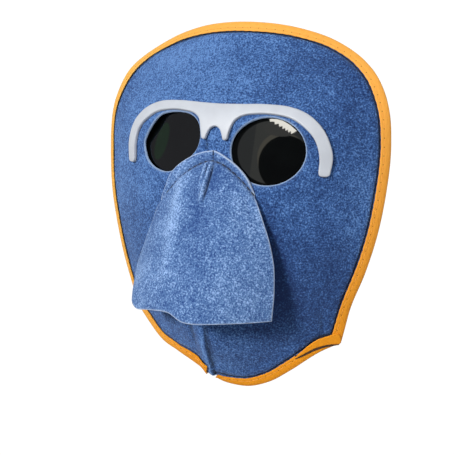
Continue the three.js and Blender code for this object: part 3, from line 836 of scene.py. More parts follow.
# %% [markdown]
# At the lower right corner the first length of tape is folded in under itself and lies over the
# second one, with a narrow gap between their layers. It is cut as a small tongue of its own. The
# gap shows the dark inside of the fold and lies in deep shadow, so a thin dark lining lies in it,
# its colour partly the fold's inside and partly painted shadow.

# %% The turned-in end of the tape
TONGUE_LIFT, LINING_LIFT = 1.35, 0.5


def flat_piece(name, outline, lift, thickness, radius):
    """A small cut piece of tape that lies in front of the tape."""
    surface = parallel(suede, TAPE_FRONT - lift)
    pattern = cut_pattern([outline], spacing=1.2)
    flat, _, away = pattern
    front = on(surface, *flat.T, rounded(away, radius))
    back = on(surface, *flat.T, thickness - 0.5 * rounded(away, radius))
    piece = body(name, pattern, front, back)
    paint(piece, "along", np.tile(flat[:, 0], 2))
    paint(piece, "across", np.tile(away * 0.5, 2))
    smooth(piece, 50)
    return piece


slit = curve([(60, -170.6), (66, -168), (72, -164.4), (79, -161.4), (84, -160.4), (88.6, -159.6)], 0.8)
slit_outline = np.concatenate([slit, (slit + [-0.8, 2.6])[1:-1][::-1]])
tape_end = flat_piece("tape_end", tongue_outline, TONGUE_LIFT, 0.8, 0.4)
# A thin dark sheet in the gap: the dark inside of the fold and painted shadow.
slit_shadow_lining = flat_piece("slit_shadow_lining", slit_outline, LINING_LIFT, 0.3, 0.1)

# %% [markdown]
# ## Thread
#
# A lock stitch is a row of short threads that dive into the work at both ends. One stitch is
# modelled as a bent bead of thread, and the row is made of copies of it. Each copy is turned to lie
# along its seam.

# %% One stitch
def one_stitch():
    """A stitch 1 mm long along X and 1 mm wide, as points and faces."""
    bpy.ops.object.select_all(action="DESELECT")
    bpy.ops.mesh.primitive_cylinder_add(vertices=8, radius=0.5, depth=1, rotation=(0, math.pi / 2, 0))
    bead = bpy.context.object
    settle(bead)
    bpy.ops.object.mode_set(mode="EDIT")
    for level_x in (-0.42, -0.25, 0, 0.25, 0.42):
        bpy.ops.mesh.select_all(action="SELECT")
        bpy.ops.mesh.bisect(plane_co=(level_x, 0, 0), plane_no=(1, 0, 0))
    bpy.ops.object.mode_set(mode="OBJECT")
    points = np.array([v.co for v in bead.data.vertices])
    faces = [tuple(f.vertices) for f in bead.data.polygons]
    bpy.data.objects.remove(bead, do_unlink=True)
    thin = np.sqrt(np.clip(1 - (points[:, 0] / 0.56) ** 2, 0.05, 1))
    points[:, 1:] *= thin[:, None]
    points[:, 2] -= 1.6 * points[:, 0] ** 2
    return points, faces


stitch_points, stitch_faces = one_stitch()
print("a stitch has", len(stitch_faces), "faces")


def thread_row(name, places, ups, length, thickness):
    """Copies of the stitch at these places of a row, joined in one mesh."""
    ahead = unit(np.gradient(places, axis=-2)).reshape(-1, 3)
    places, ups = places.reshape(-1, 3), ups.reshape(-1, 3)
    aside = unit(np.cross(ups, ahead))
    along, width, height = (stitch_points * [length, thickness, thickness]).T
    points = (
        places[:, None]
        + along[None, :, None] * ahead[:, None]
        + width[None, :, None] * aside[:, None]
        + height[None, :, None] * ups[:, None])
    count = len(stitch_points)
    faces = [tuple(k * count + v for v in f) for k in range(len(places)) for f in stitch_faces]
    piece = new_piece(name, points, faces)
    smooth(piece, 60)
    return piece


# %% Thread in the tape
def tape_thread(name, loop):
    """The thread on the front and the back of a stretch of tape, between the needle holes."""
    inward, run = tape_frame(loop)
    middle = np.arange(STITCH_PITCH, run[-1] - STITCH_PITCH / 2, STITCH_PITCH)
    line = loop + inward * STITCH_LINE * tape_reach(*loop.T)[:, None] / TAPE_WIDTH
    x, z = (np.interp(middle, run, line[:, k]) for k in (0, 1))
    in_front = on(suede, x, z, TAPE_FRONT + 0.02 - tuck(x, z))
    behind = on(suede, x, z, TAPE_BACK + 0.12)
    ups = backward(suede, x, z)
    return thread_row(name, np.stack([in_front, behind]), np.stack([-ups, ups]), STITCH_PITCH * 0.86, 0.5)


edge_thread = tape_thread("edge_thread", side_loop)
chin_thread = tape_thread("chin_thread", chin_loop)


# %% Thread in the flap
def flap_thread(name, line, depth, length, thickness):
    """Thread along a line of the flap, drawn into the suede to this depth."""
    ups = -backward(flap_surface, *line.T)
    return thread_row(name, on(flap_surface, *line.T, depth), ups, length, thickness)


SEAM_PITCH = 5.0
seam_way = curve(seam_at(np.linspace(-0.63, 0.57, 90)), SEAM_PITCH)
dart_way = np.array([(0.3, -17.2), (0.45, -19.8), (0.6, -22.4)])
seam_thread = flap_thread("seam_thread", seam_way, 0.45, SEAM_PITCH * 0.76, 1.0)
dart_thread = flap_thread("dart_thread", dart_way, 0.25, 1.9, 0.5)

# %% [markdown]
# ## The brow bar
#
# The bar is a moulded strip that follows the suede under it. It is cut flat to its outline, pressed
# onto the same form as the suede, given its thickness and rounded along its edges.

# %% Outline of the bar
BAR_WIDTH, BAR_THICKNESS, BAR_RISE, ARM_SHIFT, ARM_DROP, TOOTH_DROP = 167, 3, 16, 1.6, 32, 9
BAR_OUTER = [  # across, height above the bridge, both in shares
    (0.0, 0.95), (0.19, 0.97), (0.42, 1.0), (0.64, 0.9), (0.8, 0.57), (0.92, 0.0)]
ARM_OUTER = [
    (0.98, 0.33), (1.0, 0.6), (0.99, 0.86), (0.981, 0.972), (0.962, 1.0), (0.925, 1.0), (0.906, 0.965)]
ARM_INNER = [(0.905, 0.62), (0.885, 0.35), (0.845, 0.14)]
BAR_INNER = [(0.77, 0.1), (0.66, 0.44), (0.5, 0.6), (0.36, 0.6), (0.24, 0.5), (0.175, 0.28), (0.15, 0.0)]
TOOTH = [(0.135, 0.5), (0.12, 0.97), (0.09, 1.0), (0.072, 0.6), (0.045, 0.18)]


def bar_place(across, z):
    return (across * BAR_WIDTH / 2 + ARM_SHIFT * across**2, z)


half_bar = [
    *[(a, h * BAR_RISE) for a, h in BAR_OUTER], *[(a, -h * ARM_DROP) for a, h in ARM_OUTER + ARM_INNER],
    *[(a, h * BAR_RISE) for a, h in BAR_INNER], *[(a, -h * TOOTH_DROP) for a, h in TOOTH]]
bar_loop = [bar_place(a, z) for a, z in half_bar] + [bar_place(0, 0)]
bar_loop += [bar_place(-a, z) for a, z in half_bar[:0:-1]]
bar_outline = curve(bar_loop, 0.8, closed=True)[::-1]

# %% Shape the bar
bar_pattern = cut_pattern([bar_outline], spacing=1.6, rims=(0.3, 0.8, 1.5))
flat, _, away = bar_pattern
crown = 0.12 * np.clip(away / 5, 0, 1)
front = on(suede, *flat.T, 0.5 - CLEARANCE - BAR_THICKNESS - crown + rounded(away, 0.7))
back = on(suede, *flat.T, -CLEARANCE - rounded(away, 0.3) * 0.5)
brow_bar = body("brow_bar_moulding", bar_pattern, front, back)
smooth(brow_bar, 50)

# %% [markdown]
# ## The lenses
#
# Each lens is a flat oval of dark glass, ground to a small bevel round its edge. It lies a little
# behind the suede and leans, so that it faces outwards and a little up.

# %% Place of a lens
LENS_THICKNESS, LENS_BEHIND, LENS_RIM, TOE, LEAN = 3, 6.6, 3, 0.2, 0.22
LENS_Y = depth_at(suede, EYE_X, EYE_Z) + LENS_BEHIND
HANDS = {"right": 1, "left": -1}


def bevel(piece, width, degrees):
    """Round the edges of a piece that are sharper than this."""
    rims = piece.modifiers.new("rims", "BEVEL")
    rims.width = width * MM
    rims.segments = 3
    rims.limit_method = "ANGLE"
    rims.angle_limit = math.radians(degrees)
    apply_all(piece)


def oval_block(name, hand, margin, front, back):
    """An oval block along Y round an eye, its ends parallel to the lens."""
    bpy.ops.object.select_all(action="DESELECT")
    bpy.ops.mesh.primitive_cylinder_add(
        vertices=128, radius=1, depth=1, location=(hand * EYE_X * MM, LENS_Y * MM, EYE_Z * MM),
        rotation=(math.pi / 2, 0, 0),
        scale=((EYE_WIDTH / 2 + margin) * MM, (EYE_HEIGHT / 2 + margin) * MM, 0.2))
    block = bpy.context.object
    block.name = name
    settle(block)
    bpy.ops.object.mode_set(mode="EDIT")
    for distance, toward in ((front, -1), (back, 1)):
        bpy.ops.mesh.select_all(action="SELECT")
        bpy.ops.mesh.bisect(
            plane_co=(hand * EYE_X * MM, (LENS_Y + distance) * MM, EYE_Z * MM),
            plane_no=(-toward * hand * TOE, toward, -toward * LEAN), use_fill=True, clear_outer=True)
    bpy.ops.object.mode_set(mode="OBJECT")
    return block


# %% Make the lenses
lenses = {}
for side, hand in HANDS.items():
    lens = oval_block(f"lens_glass_{side}", hand, LENS_RIM, 0, LENS_THICKNESS)
    bevel(lens, 0.5, 50)
    smooth(lens, 8)
    lenses[side] = lens

# %% [markdown]
# ## The eye frame
#
# The frame is one black moulding behind the suede: a flange that follows the suede, two cups that
# hold the lenses, and a lug on each side with a post for the head band. The flange is cut as a
# plate, and the cups and lugs are joined to it.

# %% Flange
CUP_WALL, CUP_LIP, CUP_DEPTH, FLANGE_WIDTH, FLANGE, FLANGE_SLACK = 2, 2, 11, 7, 2.5, 0.7
BAND_WIDTH, BAND_THICKNESS, BAND_Z, POST_RADIUS, POST_X = 20, 1.8, EYE_Z, 1.6, 95
LUG_THICKNESS, LUG_MARGIN, LUG_ROOT = 2.4, 4, 6
POCKET_MARGIN = LENS_RIM + CLEARANCE
CUP_MARGIN = POCKET_MARGIN + CUP_WALL
FLANGE_FRONT = LEATHER + FLANGE_SLACK


def eye_oval(hand, margin):
    return oval(hand * EYE_X, EYE_Z, EYE_WIDTH + 2 * margin, EYE_HEIGHT + 2 * margin, 160)


def tongue(hand):
    """The strip of the flange that carries the lug."""
    near, far = hand * EYE_X, hand * (POST_X + LUG_MARGIN)
    reach = BAND_WIDTH / 2 + CLEARANCE + LUG_THICKNESS
    low, high = BAND_Z - reach, BAND_Z + reach
    corners = [(near, low), (far, low), (far, high), (near, high)]
    sides = [np.linspace(p, q, 28, endpoint=False) for p, q in zip(corners, corners[1:] + corners[:1])]
    return np.concatenate(sides)[::hand]


hands = list(HANDS.values())
flange_loops = [bar_outline, *[eye_oval(h, FLANGE_WIDTH) for h in hands], *[tongue(h) for h in hands]]
flange_holes = [eye_oval(h, POCKET_MARGIN + 0.4) for h in hands]
flange_pattern = cut_pattern(flange_loops, flange_holes, spacing=2.6, rims=(0.6,))
flat, _, away = flange_pattern
front = on(suede, *flat.T, FLANGE_FRONT + rounded(away, 0.5))
back = on(suede, *flat.T, FLANGE_FRONT + FLANGE - rounded(away, 0.5))
flange = body("frame_flange", flange_pattern, front, back)
smooth(flange, 40)

# %% Join and cut blocks
def combine(piece, tool, operation):
    """Join another closed body to a piece or cut it out, and use it up."""
    change = piece.modifiers.new("combine", "BOOLEAN")
    change.operation = operation
    change.object = tool
    change.solver = "EXACT"
    apply_all(piece)
    bpy.data.objects.remove(tool, do_unlink=True)


# %% Cups
THROUGH = 60  # how far a cutting block reaches past the frame
BLOCK_FRONT, FRONT_PART = -40, -25  # where a cup starts, and what of it is drawn back to the flange
root_level = parallel(suede, FLANGE_FRONT + FLANGE / 2)

for side, hand in HANDS.items():
    cup = oval_block(f"eye_cup_{side}", hand, CUP_MARGIN, BLOCK_FRONT, CUP_DEPTH)
    bevel(cup, 0.7, 50)
    pocket = oval_block("pocket", hand, POCKET_MARGIN, -THROUGH, LENS_THICKNESS + CLEARANCE)
    combine(cup, pocket, "DIFFERENCE")
    opening = oval_block("opening", hand, LENS_RIM - CUP_LIP, -THROUGH, THROUGH)
    combine(cup, opening, "DIFFERENCE")
    for vertex in cup.data.vertices:
        if vertex.co.y < (LENS_Y + FRONT_PART) * MM:
            vertex.co.y = depth_at(root_level, vertex.co.x / MM, vertex.co.z / MM) * MM
    combine(flange, cup, "UNION")
print("with its cups the frame has", len(flange.data.polygons), "faces")

# %% Lugs and posts
LOOP_RADIUS = POST_RADIUS + CLEARANCE + BAND_THICKNESS
HALF_SLOT = BAND_WIDTH / 2 + CLEARANCE
behind_flange = parallel(suede, FLANGE_FRONT + FLANGE + CLEARANCE + LOOP_RADIUS)
POST_Y = depth_at(behind_flange, POST_X, BAND_Z + BAND_WIDTH / 2)


def ear(hand, low):
    """One side wall of a lug, cut from a plate."""
    bpy.ops.object.select_all(action="DESELECT")
    bpy.ops.mesh.primitive_circle_add(vertices=5, radius=MM, fill_type="NGON")
    plate = bpy.context.object
    middle = low + LUG_THICKNESS / 2
    near, far = POST_X - LUG_ROOT, POST_X + LUG_MARGIN
    corners = [
        (near, depth_at(root_level, near, middle)), (far, depth_at(root_level, far, middle)),
        (far, POST_Y), (POST_X + LUG_MARGIN / 2, POST_Y + LUG_MARGIN),
        (POST_X - LUG_MARGIN / 2, POST_Y + LUG_MARGIN)]
    for vertex, (x, y) in zip(plate.data.vertices, corners):
        vertex.co = (hand * x * MM, y * MM, low * MM)
    bpy.ops.object.mode_set(mode="EDIT")
    bpy.ops.mesh.select_all(action="SELECT")
    bpy.ops.mesh.extrude_region_move(TRANSFORM_OT_translate={"value": (0, 0, LUG_THICKNESS * MM)})
    bpy.ops.object.mode_set(mode="OBJECT")
    outward(plate)
    bevel(plate, 0.5, 30)
    return plate


for hand in HANDS.values():
    for low in (BAND_Z + HALF_SLOT, BAND_Z - HALF_SLOT - LUG_THICKNESS):
        combine(flange, ear(hand, low), "UNION")
    bpy.ops.object.select_all(action="DESELECT")
    bpy.ops.mesh.primitive_cylinder_add(
        vertices=40, radius=POST_RADIUS * MM, depth=(2 * HALF_SLOT + LUG_THICKNESS) * MM,
        location=(hand * POST_X * MM, POST_Y * MM, BAND_Z * MM))
    post = bpy.context.object
    settle(post)
    combine(flange, post, "UNION")
smooth(flange, 20)

# %% [markdown]
# ## The head band
#
# The band is woven elastic, 20 mm wide. Each end goes round its post, comes back on itself and is
# sewn down. The whole band is swept along one route round the head.

# %% Route of the band
HEAD_WIDTH, HEAD_LENGTH, DOUBLED = 156, 190, 24
BAND_ROUTE = [  # shares of the half width and the length of the head
    (1.13, 0.3), (1.04, 0.45), (0.97, 0.6), (0.84, 0.78), (0.6, 0.91), (0.3, 0.98), (0.0, 1.0)]

half_route = [(POST_X, POST_Y + LOOP_RADIUS - BAND_THICKNESS / 2), (POST_X, POST_Y + 3 * LOOP_RADIUS)]
half_route += [(x * HEAD_WIDTH / 2, y * HEAD_LENGTH) for x, y in BAND_ROUTE]
route = curve(half_route + [(-x, y) for x, y in half_route[-2::-1]], 1.2)
run = way(route)
print("the band's way round the head is", round(float(run[-1])), "mm")


def looped_end(hand):
    """The doubled end: in along the inner layer and round the post, towards the single band."""
    radius = POST_RADIUS + CLEARANCE + BAND_THICKNESS / 2
    inner = [(POST_X - BAND_THICKNESS / 2, POST_Y + y) for y in np.arange(DOUBLED, LOOP_RADIUS + 1, -1.2)]
    loop = [
        (POST_X - radius * math.sin(t), POST_Y + radius * math.cos(t))
        for t in np.linspace(math.radians(48), math.radians(312), 26)]
    return [(hand * x, y) for x, y in inner + loop]


shift = BAND_THICKNESS / 2 * (1 - ease((np.minimum(run, run[-1] - run) - DOUBLED + 4) / 14))
outer_layer = (route - normals(route, closed=False) * shift[:, None])[5:-5]
band_path = curve([*looped_end(1), *outer_layer[::4], *looped_end(-1)[::-1]], 1.0)

# %% Sweep the band
HALF_THICK, HALF_WIDE = BAND_THICKNESS / 2 - 0.05, BAND_WIDTH / 2

flat_part = [
    (HALF_THICK * (0.9 + 0.1 * math.cos(v * math.pi)), v * (HALF_WIDE - 1.4))
    for v in np.linspace(1, -1, 12)]
round_part = [
    (HALF_THICK * 0.9 * math.sin(t), HALF_WIDE - 0.8 + 0.8 * math.cos(t))
    for t in np.radians(np.linspace(90, -90, 7))]
quarters = [(flat_part, 1, 1), (round_part, 1, -1), (flat_part, -1, -1), (round_part, -1, 1)]
band_section = [(a * u, b * v) for part, a, b in quarters for u, v in part]
band_rows = [
    [(x + ax * u, y + ay * u, BAND_Z + v) for u, v in band_section]
    for (x, y), (ax, ay) in zip(band_path, normals(band_path, closed=False))]
head_band = ring_body("head_band", band_rows, way(band_path), [v for _, v in band_section])
smooth(head_band, 50)

# %% [markdown]
# ## Finishes
#
# The finishes are built from noise in the coordinates of the mask itself, so they stay on the
# material when the view moves. Values that are the same all over are set on the shader.

# %% Helpers for node trees
def feed(tree, source, socket):
    """Give an input a value, or the output of another node."""
    if isinstance(source, bpy.types.NodeSocket):
        tree.links.new(source, socket)
    else:
        socket.default_value = source


def add(tree, kind, **settings):
    """A node with its settings: properties by name, and inputs by name with _ for a space."""
    made = tree.nodes.new(kind)
    for name, value in settings.items():
        if hasattr(made, name):
            setattr(made, name, value)
        else:
            feed(tree, value, made.inputs[name.replace("_", " ")])
    return made


def calc(tree, operation, *terms):
    """The result of a calculation with sockets and numbers."""
    made = add(tree, "ShaderNodeMath", operation=operation)
    for term, socket in zip(terms, made.inputs):
        feed(tree, term, socket)
    return made.outputs[0]


def weigh(tree, *terms):
    """The sum of values, each with its weight."""
    total = 0.0
    for value, weight in terms:
        total = calc(tree, "MULTIPLY_ADD", value, weight, total)
    return total


def spread(tree, value, low, high, start=0.0, end=1.0, clamp=True):
    """A value carried over from the span low to high to the span start to end."""
    made = add(
        tree, "ShaderNodeMapRange", clamp=clamp, Value=value, From_Min=low, From_Max=high, To_Min=start,
        To_Max=end)
    return made.outputs["Result"]


def cloudy(tree, vector, scale, detail, roughness=0.5):
    """Noise between 0 and 1."""
    made = add(
        tree, "ShaderNodeTexNoise", Vector=vector, Scale=scale, Detail=detail, Roughness=roughness)
    return made.outputs["Fac"]


def own_place(tree):
    return add(tree, "ShaderNodeTexCoord").outputs["Object"]


def painted(tree, name):
    return add(tree, "ShaderNodeAttribute", attribute_name=name).outputs["Fac"]


def ramp(tree, source, *stops):
    """Colours at places from 0 to 1, read by a value."""
    made = add(tree, "ShaderNodeValToRGB", Fac=source)
    elements = made.color_ramp.elements
    while len(elements) < len(stops):
        elements.new(0.5)
    for element, (place, color) in zip(elements, stops):
        element.position = place
        element.color = (*color, 1)
    return made.outputs["Color"]


def blend(tree, factor, first, second):
    """Mix two colours. Each is a socket or a plain colour."""
    made = add(tree, "ShaderNodeMix", data_type="RGBA")
    for source, target in ((factor, "Factor_Float"), (first, "A_Color"), (second, "B_Color")):
        socket = next(i for i in made.inputs if i.identifier == target)
        feed(tree, (*source, 1) if isinstance(source, tuple) else source, socket)
    return next(o for o in made.outputs if o.identifier == "Result_Color")


# %% Groups and materials
def group(name, *inputs):
    """An empty node group that gives a shade and a height: its tree, its inputs and its outputs."""
    tree = bpy.data.node_groups.new(name, "ShaderNodeTree")
    for socket, value in inputs:
        kind = "NodeSocketVector" if value is None else "NodeSocketFloat"
        made = tree.interface.new_socket(socket, in_out="INPUT", socket_type=kind)
        if value is not None:
            made.default_value = value
    for socket in ("Shade", "Height"):
        tree.interface.new_socket(socket, in_out="OUTPUT", socket_type="NodeSocketFloat")
    return tree, tree.nodes.new("NodeGroupInput").outputs, tree.nodes.new("NodeGroupOutput").inputs


def use(tree, node_group, **values):
    """The shade and the height that a group gives with these values."""
    made = add(tree, "ShaderNodeGroup", node_tree=node_group, **values)
    return made.outputs["Shade"], made.outputs["Height"]


def finish(name, **values):
    """A material with a plain shader that has these values, and its node tree."""
    made = bpy.data.materials.new(name)
    made.use_nodes = True
    shader = made.node_tree.nodes["Principled BSDF"]
    for setting, value in values.items():
        shader.inputs[setting.replace("_", " ")].default_value = value
    return made, made.node_tree


def cover(tree, color, height, strength, depth):
    """Colour the shader and raise the surface, with the depth in millimetres."""
    bump = add(tree, "ShaderNodeBump", Strength=strength, Distance=depth * MM, Height=height)
    shader = tree.nodes["Principled BSDF"]
    feed(tree, color, shader.inputs["Base Color"])
    feed(tree, bump.outputs["Normal"], shader.inputs["Normal"])


# %% [markdown]
# ### Suede
#
# Split suede is a mat of short fibres that lie in all directions. Seen close up it is a speckle of
# light and dark tips about a millimetre across, and from further away cloudy patches show where the
# nap was brushed one way or the other. Both suedes use one group with three sizes of noise. The
# painted values then lighten or darken it, as its own tone and as painted light and shade, pale it
# along ridges as wear and painted highlight, darken it along the seams and creases with dirt and
# painted shade, and bare its raw edges.

# %% Nap group
NAP_LAYERS = [  # name, scale per metre, detail, roughness, half its span
    ("Cloud", 30.0, 3.0, 0.6, 0.16), ("Mottle", 190.0, 3.0, 0.65, 0.16), ("Tip", 840.0, 2.0, 0.6, 0.11)]
nap, nap_in, nap_out = group(
    "suede nap", ("Vector", None), *[(f"{layer[0]} Scale", layer[1]) for layer in NAP_LAYERS])
layers = []
for name, _, detail, roughness, reach in NAP_LAYERS:
    fibres = cloudy(nap, nap_in["Vector"], nap_in[f"{name} Scale"], detail, roughness)
    layers.append(spread(nap, fibres, 0.5 - reach, 0.5 + reach, clamp=False))
cloud, mottle, tip = layers
feed(nap, weigh(nap, (cloud, 0.24), (mottle, 0.2), (tip, 0.56)), nap_out["Shade"])
feed(nap, weigh(nap, (tip, 0.65), (mottle, 0.35)), nap_out["Height"])
print("the nap has", len(nap.nodes), "nodes")

# %% The two suedes
NAP_RELIEF = (0.55, 0.5)
WEAR_AND_HIGHLIGHT_SHARE = 0.42


def suede_finish(name, stops, raw_color, dirt_and_shade_color):
    made, tree = finish(
        name, Roughness=0.92, Sheen_Weight=0.22, Sheen_Roughness=0.55, Sheen_Tint=(0.62, 0.74, 1.0, 1),
        Specular_IOR_Level=0.2)
    shade, height = use(tree, nap, Vector=own_place(tree))
    # The nap's tone with painted light and shade, and the painted paler lines of wear and highlight.
    shade = weigh(
        tree, (shade, 1.0), (painted(tree, "brushed"), 1.0), (painted(tree, "rubbed"), WEAR_AND_HIGHLIGHT_SHARE))
    # Dirt and painted shade darken the seams, creases and pleat lines.
    color = blend(tree, painted(tree, "soiled"), ramp(tree, shade, *stops), dirt_and_shade_color)
    color = blend(tree, painted(tree, "cut_edge"), color, raw_color)
    cover(tree, color, height, *NAP_RELIEF)
    return made


PANEL_STOPS = [
    (0.0, (0.006, 0.024, 0.105)), (0.42, (0.024, 0.073, 0.228)), (0.62, (0.041, 0.114, 0.322)),
    (1.0, (0.12, 0.255, 0.56))]
FLAP_STOPS = [
    (0.0, (0.018, 0.058, 0.22)), (0.42, (0.072, 0.158, 0.375)), (0.62, (0.122, 0.235, 0.485)),
    (1.0, (0.32, 0.48, 0.8))]
# The last colour of each suede is the dark of dirt and painted shade.
panel_finish = suede_finish("panel suede", PANEL_STOPS, (0.3, 0.42, 0.64), (0.004, 0.006, 0.012))
flap_finish = suede_finish("flap suede", FLAP_STOPS, (0.5, 0.62, 0.84), (0.008, 0.015, 0.045))

# %% [markdown]
# ### Tape
#
# The tape is a smooth woven ribbon. Its threads run along it, so its noise is stretched that way.
# The needle holes are painted as dark dots at every stitch, the shade inside each hole, worked out
# from the painted way along the tape. Its orange is painted lighter and yellower towards the top,
# as painted light from above, and deeper towards the chin, and it is paler on the left side.

# %% Ribbon group
ribbon, ribbon_in, ribbon_out = group(
    "woven ribbon", ("Along", 0.0), ("Across", 0.0), ("Thread", 0.45), ("Weft", 0.7))
STREAK_STRETCH = 0.12


def ribs(value, pitch):
    """A wave between -1 and 1 with this pitch."""
    turns = calc(ribbon, "DIVIDE", value, pitch)
    return calc(ribbon, "SINE", calc(ribbon, "MULTIPLY", turns, 2 * math.pi))


stretched = add(
    ribbon, "ShaderNodeCombineXYZ", X=calc(ribbon, "MULTIPLY", ribbon_in["Along"], STREAK_STRETCH),
    Y=ribbon_in["Across"])
streaks = cloudy(ribbon, stretched.outputs["Vector"], 1.9, 4.0, 0.7)
warp = ribs(ribbon_in["Across"], ribbon_in["Thread"])
crossing = calc(ribbon, "MULTIPLY", warp, ribs(ribbon_in["Along"], ribbon_in["Weft"]))
feed(ribbon, streaks, ribbon_out["Shade"])
feed(ribbon, weigh(ribbon, (crossing, 0.3), (warp, 0.2), (streaks, 0.6)), ribbon_out["Height"])
print("the ribbon has", len(ribbon.nodes), "nodes")


# %% Needle holes
HOLE_RADIUS = 0.42


def needle_holes(tree, along, across):
    """1 in a row of round holes along the stitch line, 0 elsewhere."""
    turn = calc(tree, "FRACT", calc(tree, "DIVIDE", along, STITCH_PITCH))
    from_hole = calc(tree, "MULTIPLY", calc(tree, "SUBTRACT", turn, 0.5), STITCH_PITCH)
    from_line = calc(tree, "SUBTRACT", across, STITCH_LINE)
    spot = add(tree, "ShaderNodeCombineXYZ", X=from_hole, Y=from_line)
    distance = add(tree, "ShaderNodeVectorMath", operation="LENGTH", Vector=spot.outputs["Vector"])
    return spread(tree, distance.outputs["Value"], HOLE_RADIUS * 0.6, HOLE_RADIUS, 1.0, 0.0)


# %% The tape's finish
tape_finish, tree = finish(
    "orange tape", Roughness=0.66, Sheen_Weight=0.05, Sheen_Roughness=0.4, Specular_IOR_Level=0.22)
along, across = painted(tree, "along"), painted(tree, "across")
shade, height = use(tree, ribbon, Along=along, Across=across)
place = add(tree, "ShaderNodeSeparateXYZ", Vector=own_place(tree)).outputs
# A painted lit copy of the orange for the top and a painted shaded, deeper copy for the chin.
shaded_low_color = ramp(tree, shade, (0.3, (0.74, 0.245, 0.004)), (0.7, (0.87, 0.34, 0.012)))
lit_high_color = ramp(tree, shade, (0.3, (0.83, 0.35, 0.05)), (0.7, (0.93, 0.46, 0.09)))
high = spread(tree, place["Z"], -0.16, 0.05)
# Paler towards the left side.
paler_left = spread(tree, place["X"], -0.1, -0.02, 0.6, 0.0)
color = blend(tree, high, shaded_low_color, lit_high_color)
color = blend(tree, paler_left, color, (0.78, 0.46, 0.1))
# Painted shade inside the needle holes.
color = blend(tree, needle_holes(tree, along, across), color, (0.16, 0.05, 0.004))
cover(tree, color, height, 0.35, 0.2)


# %% Thread finishes
def thread_finish(name, color, other):
    made, tree = finish(name, Roughness=0.6, Sheen_Weight=0.2)
    twist = cloudy(tree, own_place(tree), 2600.0, 2.0)
    cover(tree, ramp(tree, twist, (0.35, color), (0.65, other)), twist, 0.4, 0.1)
    return made


orange_thread = thread_finish("orange thread", (0.8, 0.3, 0.02), (0.9, 0.42, 0.06))
dark_thread = thread_finish("dark thread", (0.004, 0.006, 0.015), (0.015, 0.022, 0.05))
slit_shadow_finish = thread_finish("slit shadow lining", (0.03, 0.012, 0.003), (0.09, 0.035, 0.008))

# %% [markdown]
# ### Plastic
#
# Moulded plastic has a fine even grain from the tool and slow waves where it shrank. One group gives
# both. The bar has little of them and the frame more.

# %% Moulded group
moulded, moulded_in, moulded_out = group("moulded skin", ("Vector", None), ("Grain Scale", 1800.0))
grain = cloudy(moulded, moulded_in["Vector"], moulded_in["Grain Scale"], 2.0)
flow = cloudy(moulded, moulded_in["Vector"], 60.0, 3.0, 0.55)
feed(moulded, flow, moulded_out["Shade"])
feed(moulded, weigh(moulded, (grain, 0.5), (flow, 0.5)), moulded_out["Height"])


# %% The two plastics
def plastic_finish(name, dark, light, strength):
    made, tree = finish(name, Roughness=0.45)
    shade, height = use(tree, moulded, Vector=own_place(tree))
    cover(tree, ramp(tree, shade, (0.35, dark), (0.65, light)), height, strength, 0.15)
    return made


bar_finish = plastic_finish("bar plastic", (0.48, 0.51, 0.57), (0.525, 0.56, 0.62), 0.12)
frame_finish = plastic_finish("frame plastic", (0.012, 0.012, 0.014), (0.024, 0.024, 0.027), 0.3)

# %% [markdown]
# ### Glass and elastic
#
# Welding glass is so dark that it looks black, so the eye sees only what is mirrored in it. It is
# polished, and its tint is a little uneven. The band is ribbed elastic, ribs across and threads
# along.

# %% Lens glass
glass_finish, tree = finish("lens glass", Roughness=0.015, IOR=1.52, Coat_Weight=0.3, Coat_Roughness=0.01)
tint = cloudy(tree, own_place(tree), 40.0, 3.0)
color = ramp(tree, tint, (0.3, (0.0008, 0.001, 0.0012)), (0.7, (0.002, 0.0026, 0.0026)))
feed(tree, color, tree.nodes["Principled BSDF"].inputs["Base Color"])

# %% Band webbing
band_finish, tree = finish("band webbing", Roughness=0.85, Sheen_Weight=0.25, Sheen_Roughness=0.5)
_, height = use(
    tree, ribbon, Along=painted(tree, "along"), Across=painted(tree, "across"), Thread=1.25, Weft=1.1)
color = ramp(tree, height, (0.0, (0.008, 0.008, 0.01)), (0.8, (0.035, 0.035, 0.04)))
cover(tree, color, height, 0.8, 0.35)

# %% [markdown]
# ### Floor and reflections
#
# The floor is pale and matt. The camera sees it as paper white, and the light that it throws up on
# the mask is that of a paler grey floor, so the underside of the mask keeps its shadow.

# %% Floor finish
def bare(name):
    """A material with nothing but its output, and its node tree."""
    made = bpy.data.materials.new(name)
    made.use_nodes = True
    made.node_tree.nodes.remove(made.node_tree.nodes["Principled BSDF"])
    return made, made.node_tree


def dress(piece, look):
    piece.data.materials.clear()
    piece.data.materials.append(look)


pale, tree = bare("floor")
matt = add(tree, "ShaderNodeBsdfDiffuse", Color=(0.6, 0.6, 0.6, 1))
white = add(tree, "ShaderNodeEmission", Color=(1, 1, 1, 1), Strength=1.05)
seen = add(tree, "ShaderNodeLightPath")
either = add(tree, "ShaderNodeMixShader")
sources = (seen.outputs["Is Camera Ray"], matt.outputs[0], white.outputs[0])
for source, socket in zip(sources, either.inputs):
    feed(tree, source, socket)
feed(tree, either.outputs[0], tree.nodes["Material Output"].inputs["Surface"])
dress(floor, pale)

# %% [markdown]
# The dark lenses mirror the room in front of the mask, so a few screens stand there, and only
# reflections show them. The right lens mirrors a dark round form with an olive rim, a grey streak
# and a strip lamp with a ragged edge. The left lens mirrors a dim wall and a narrow green glow. Each
# screen is placed by the spot in the lens where it has to show.

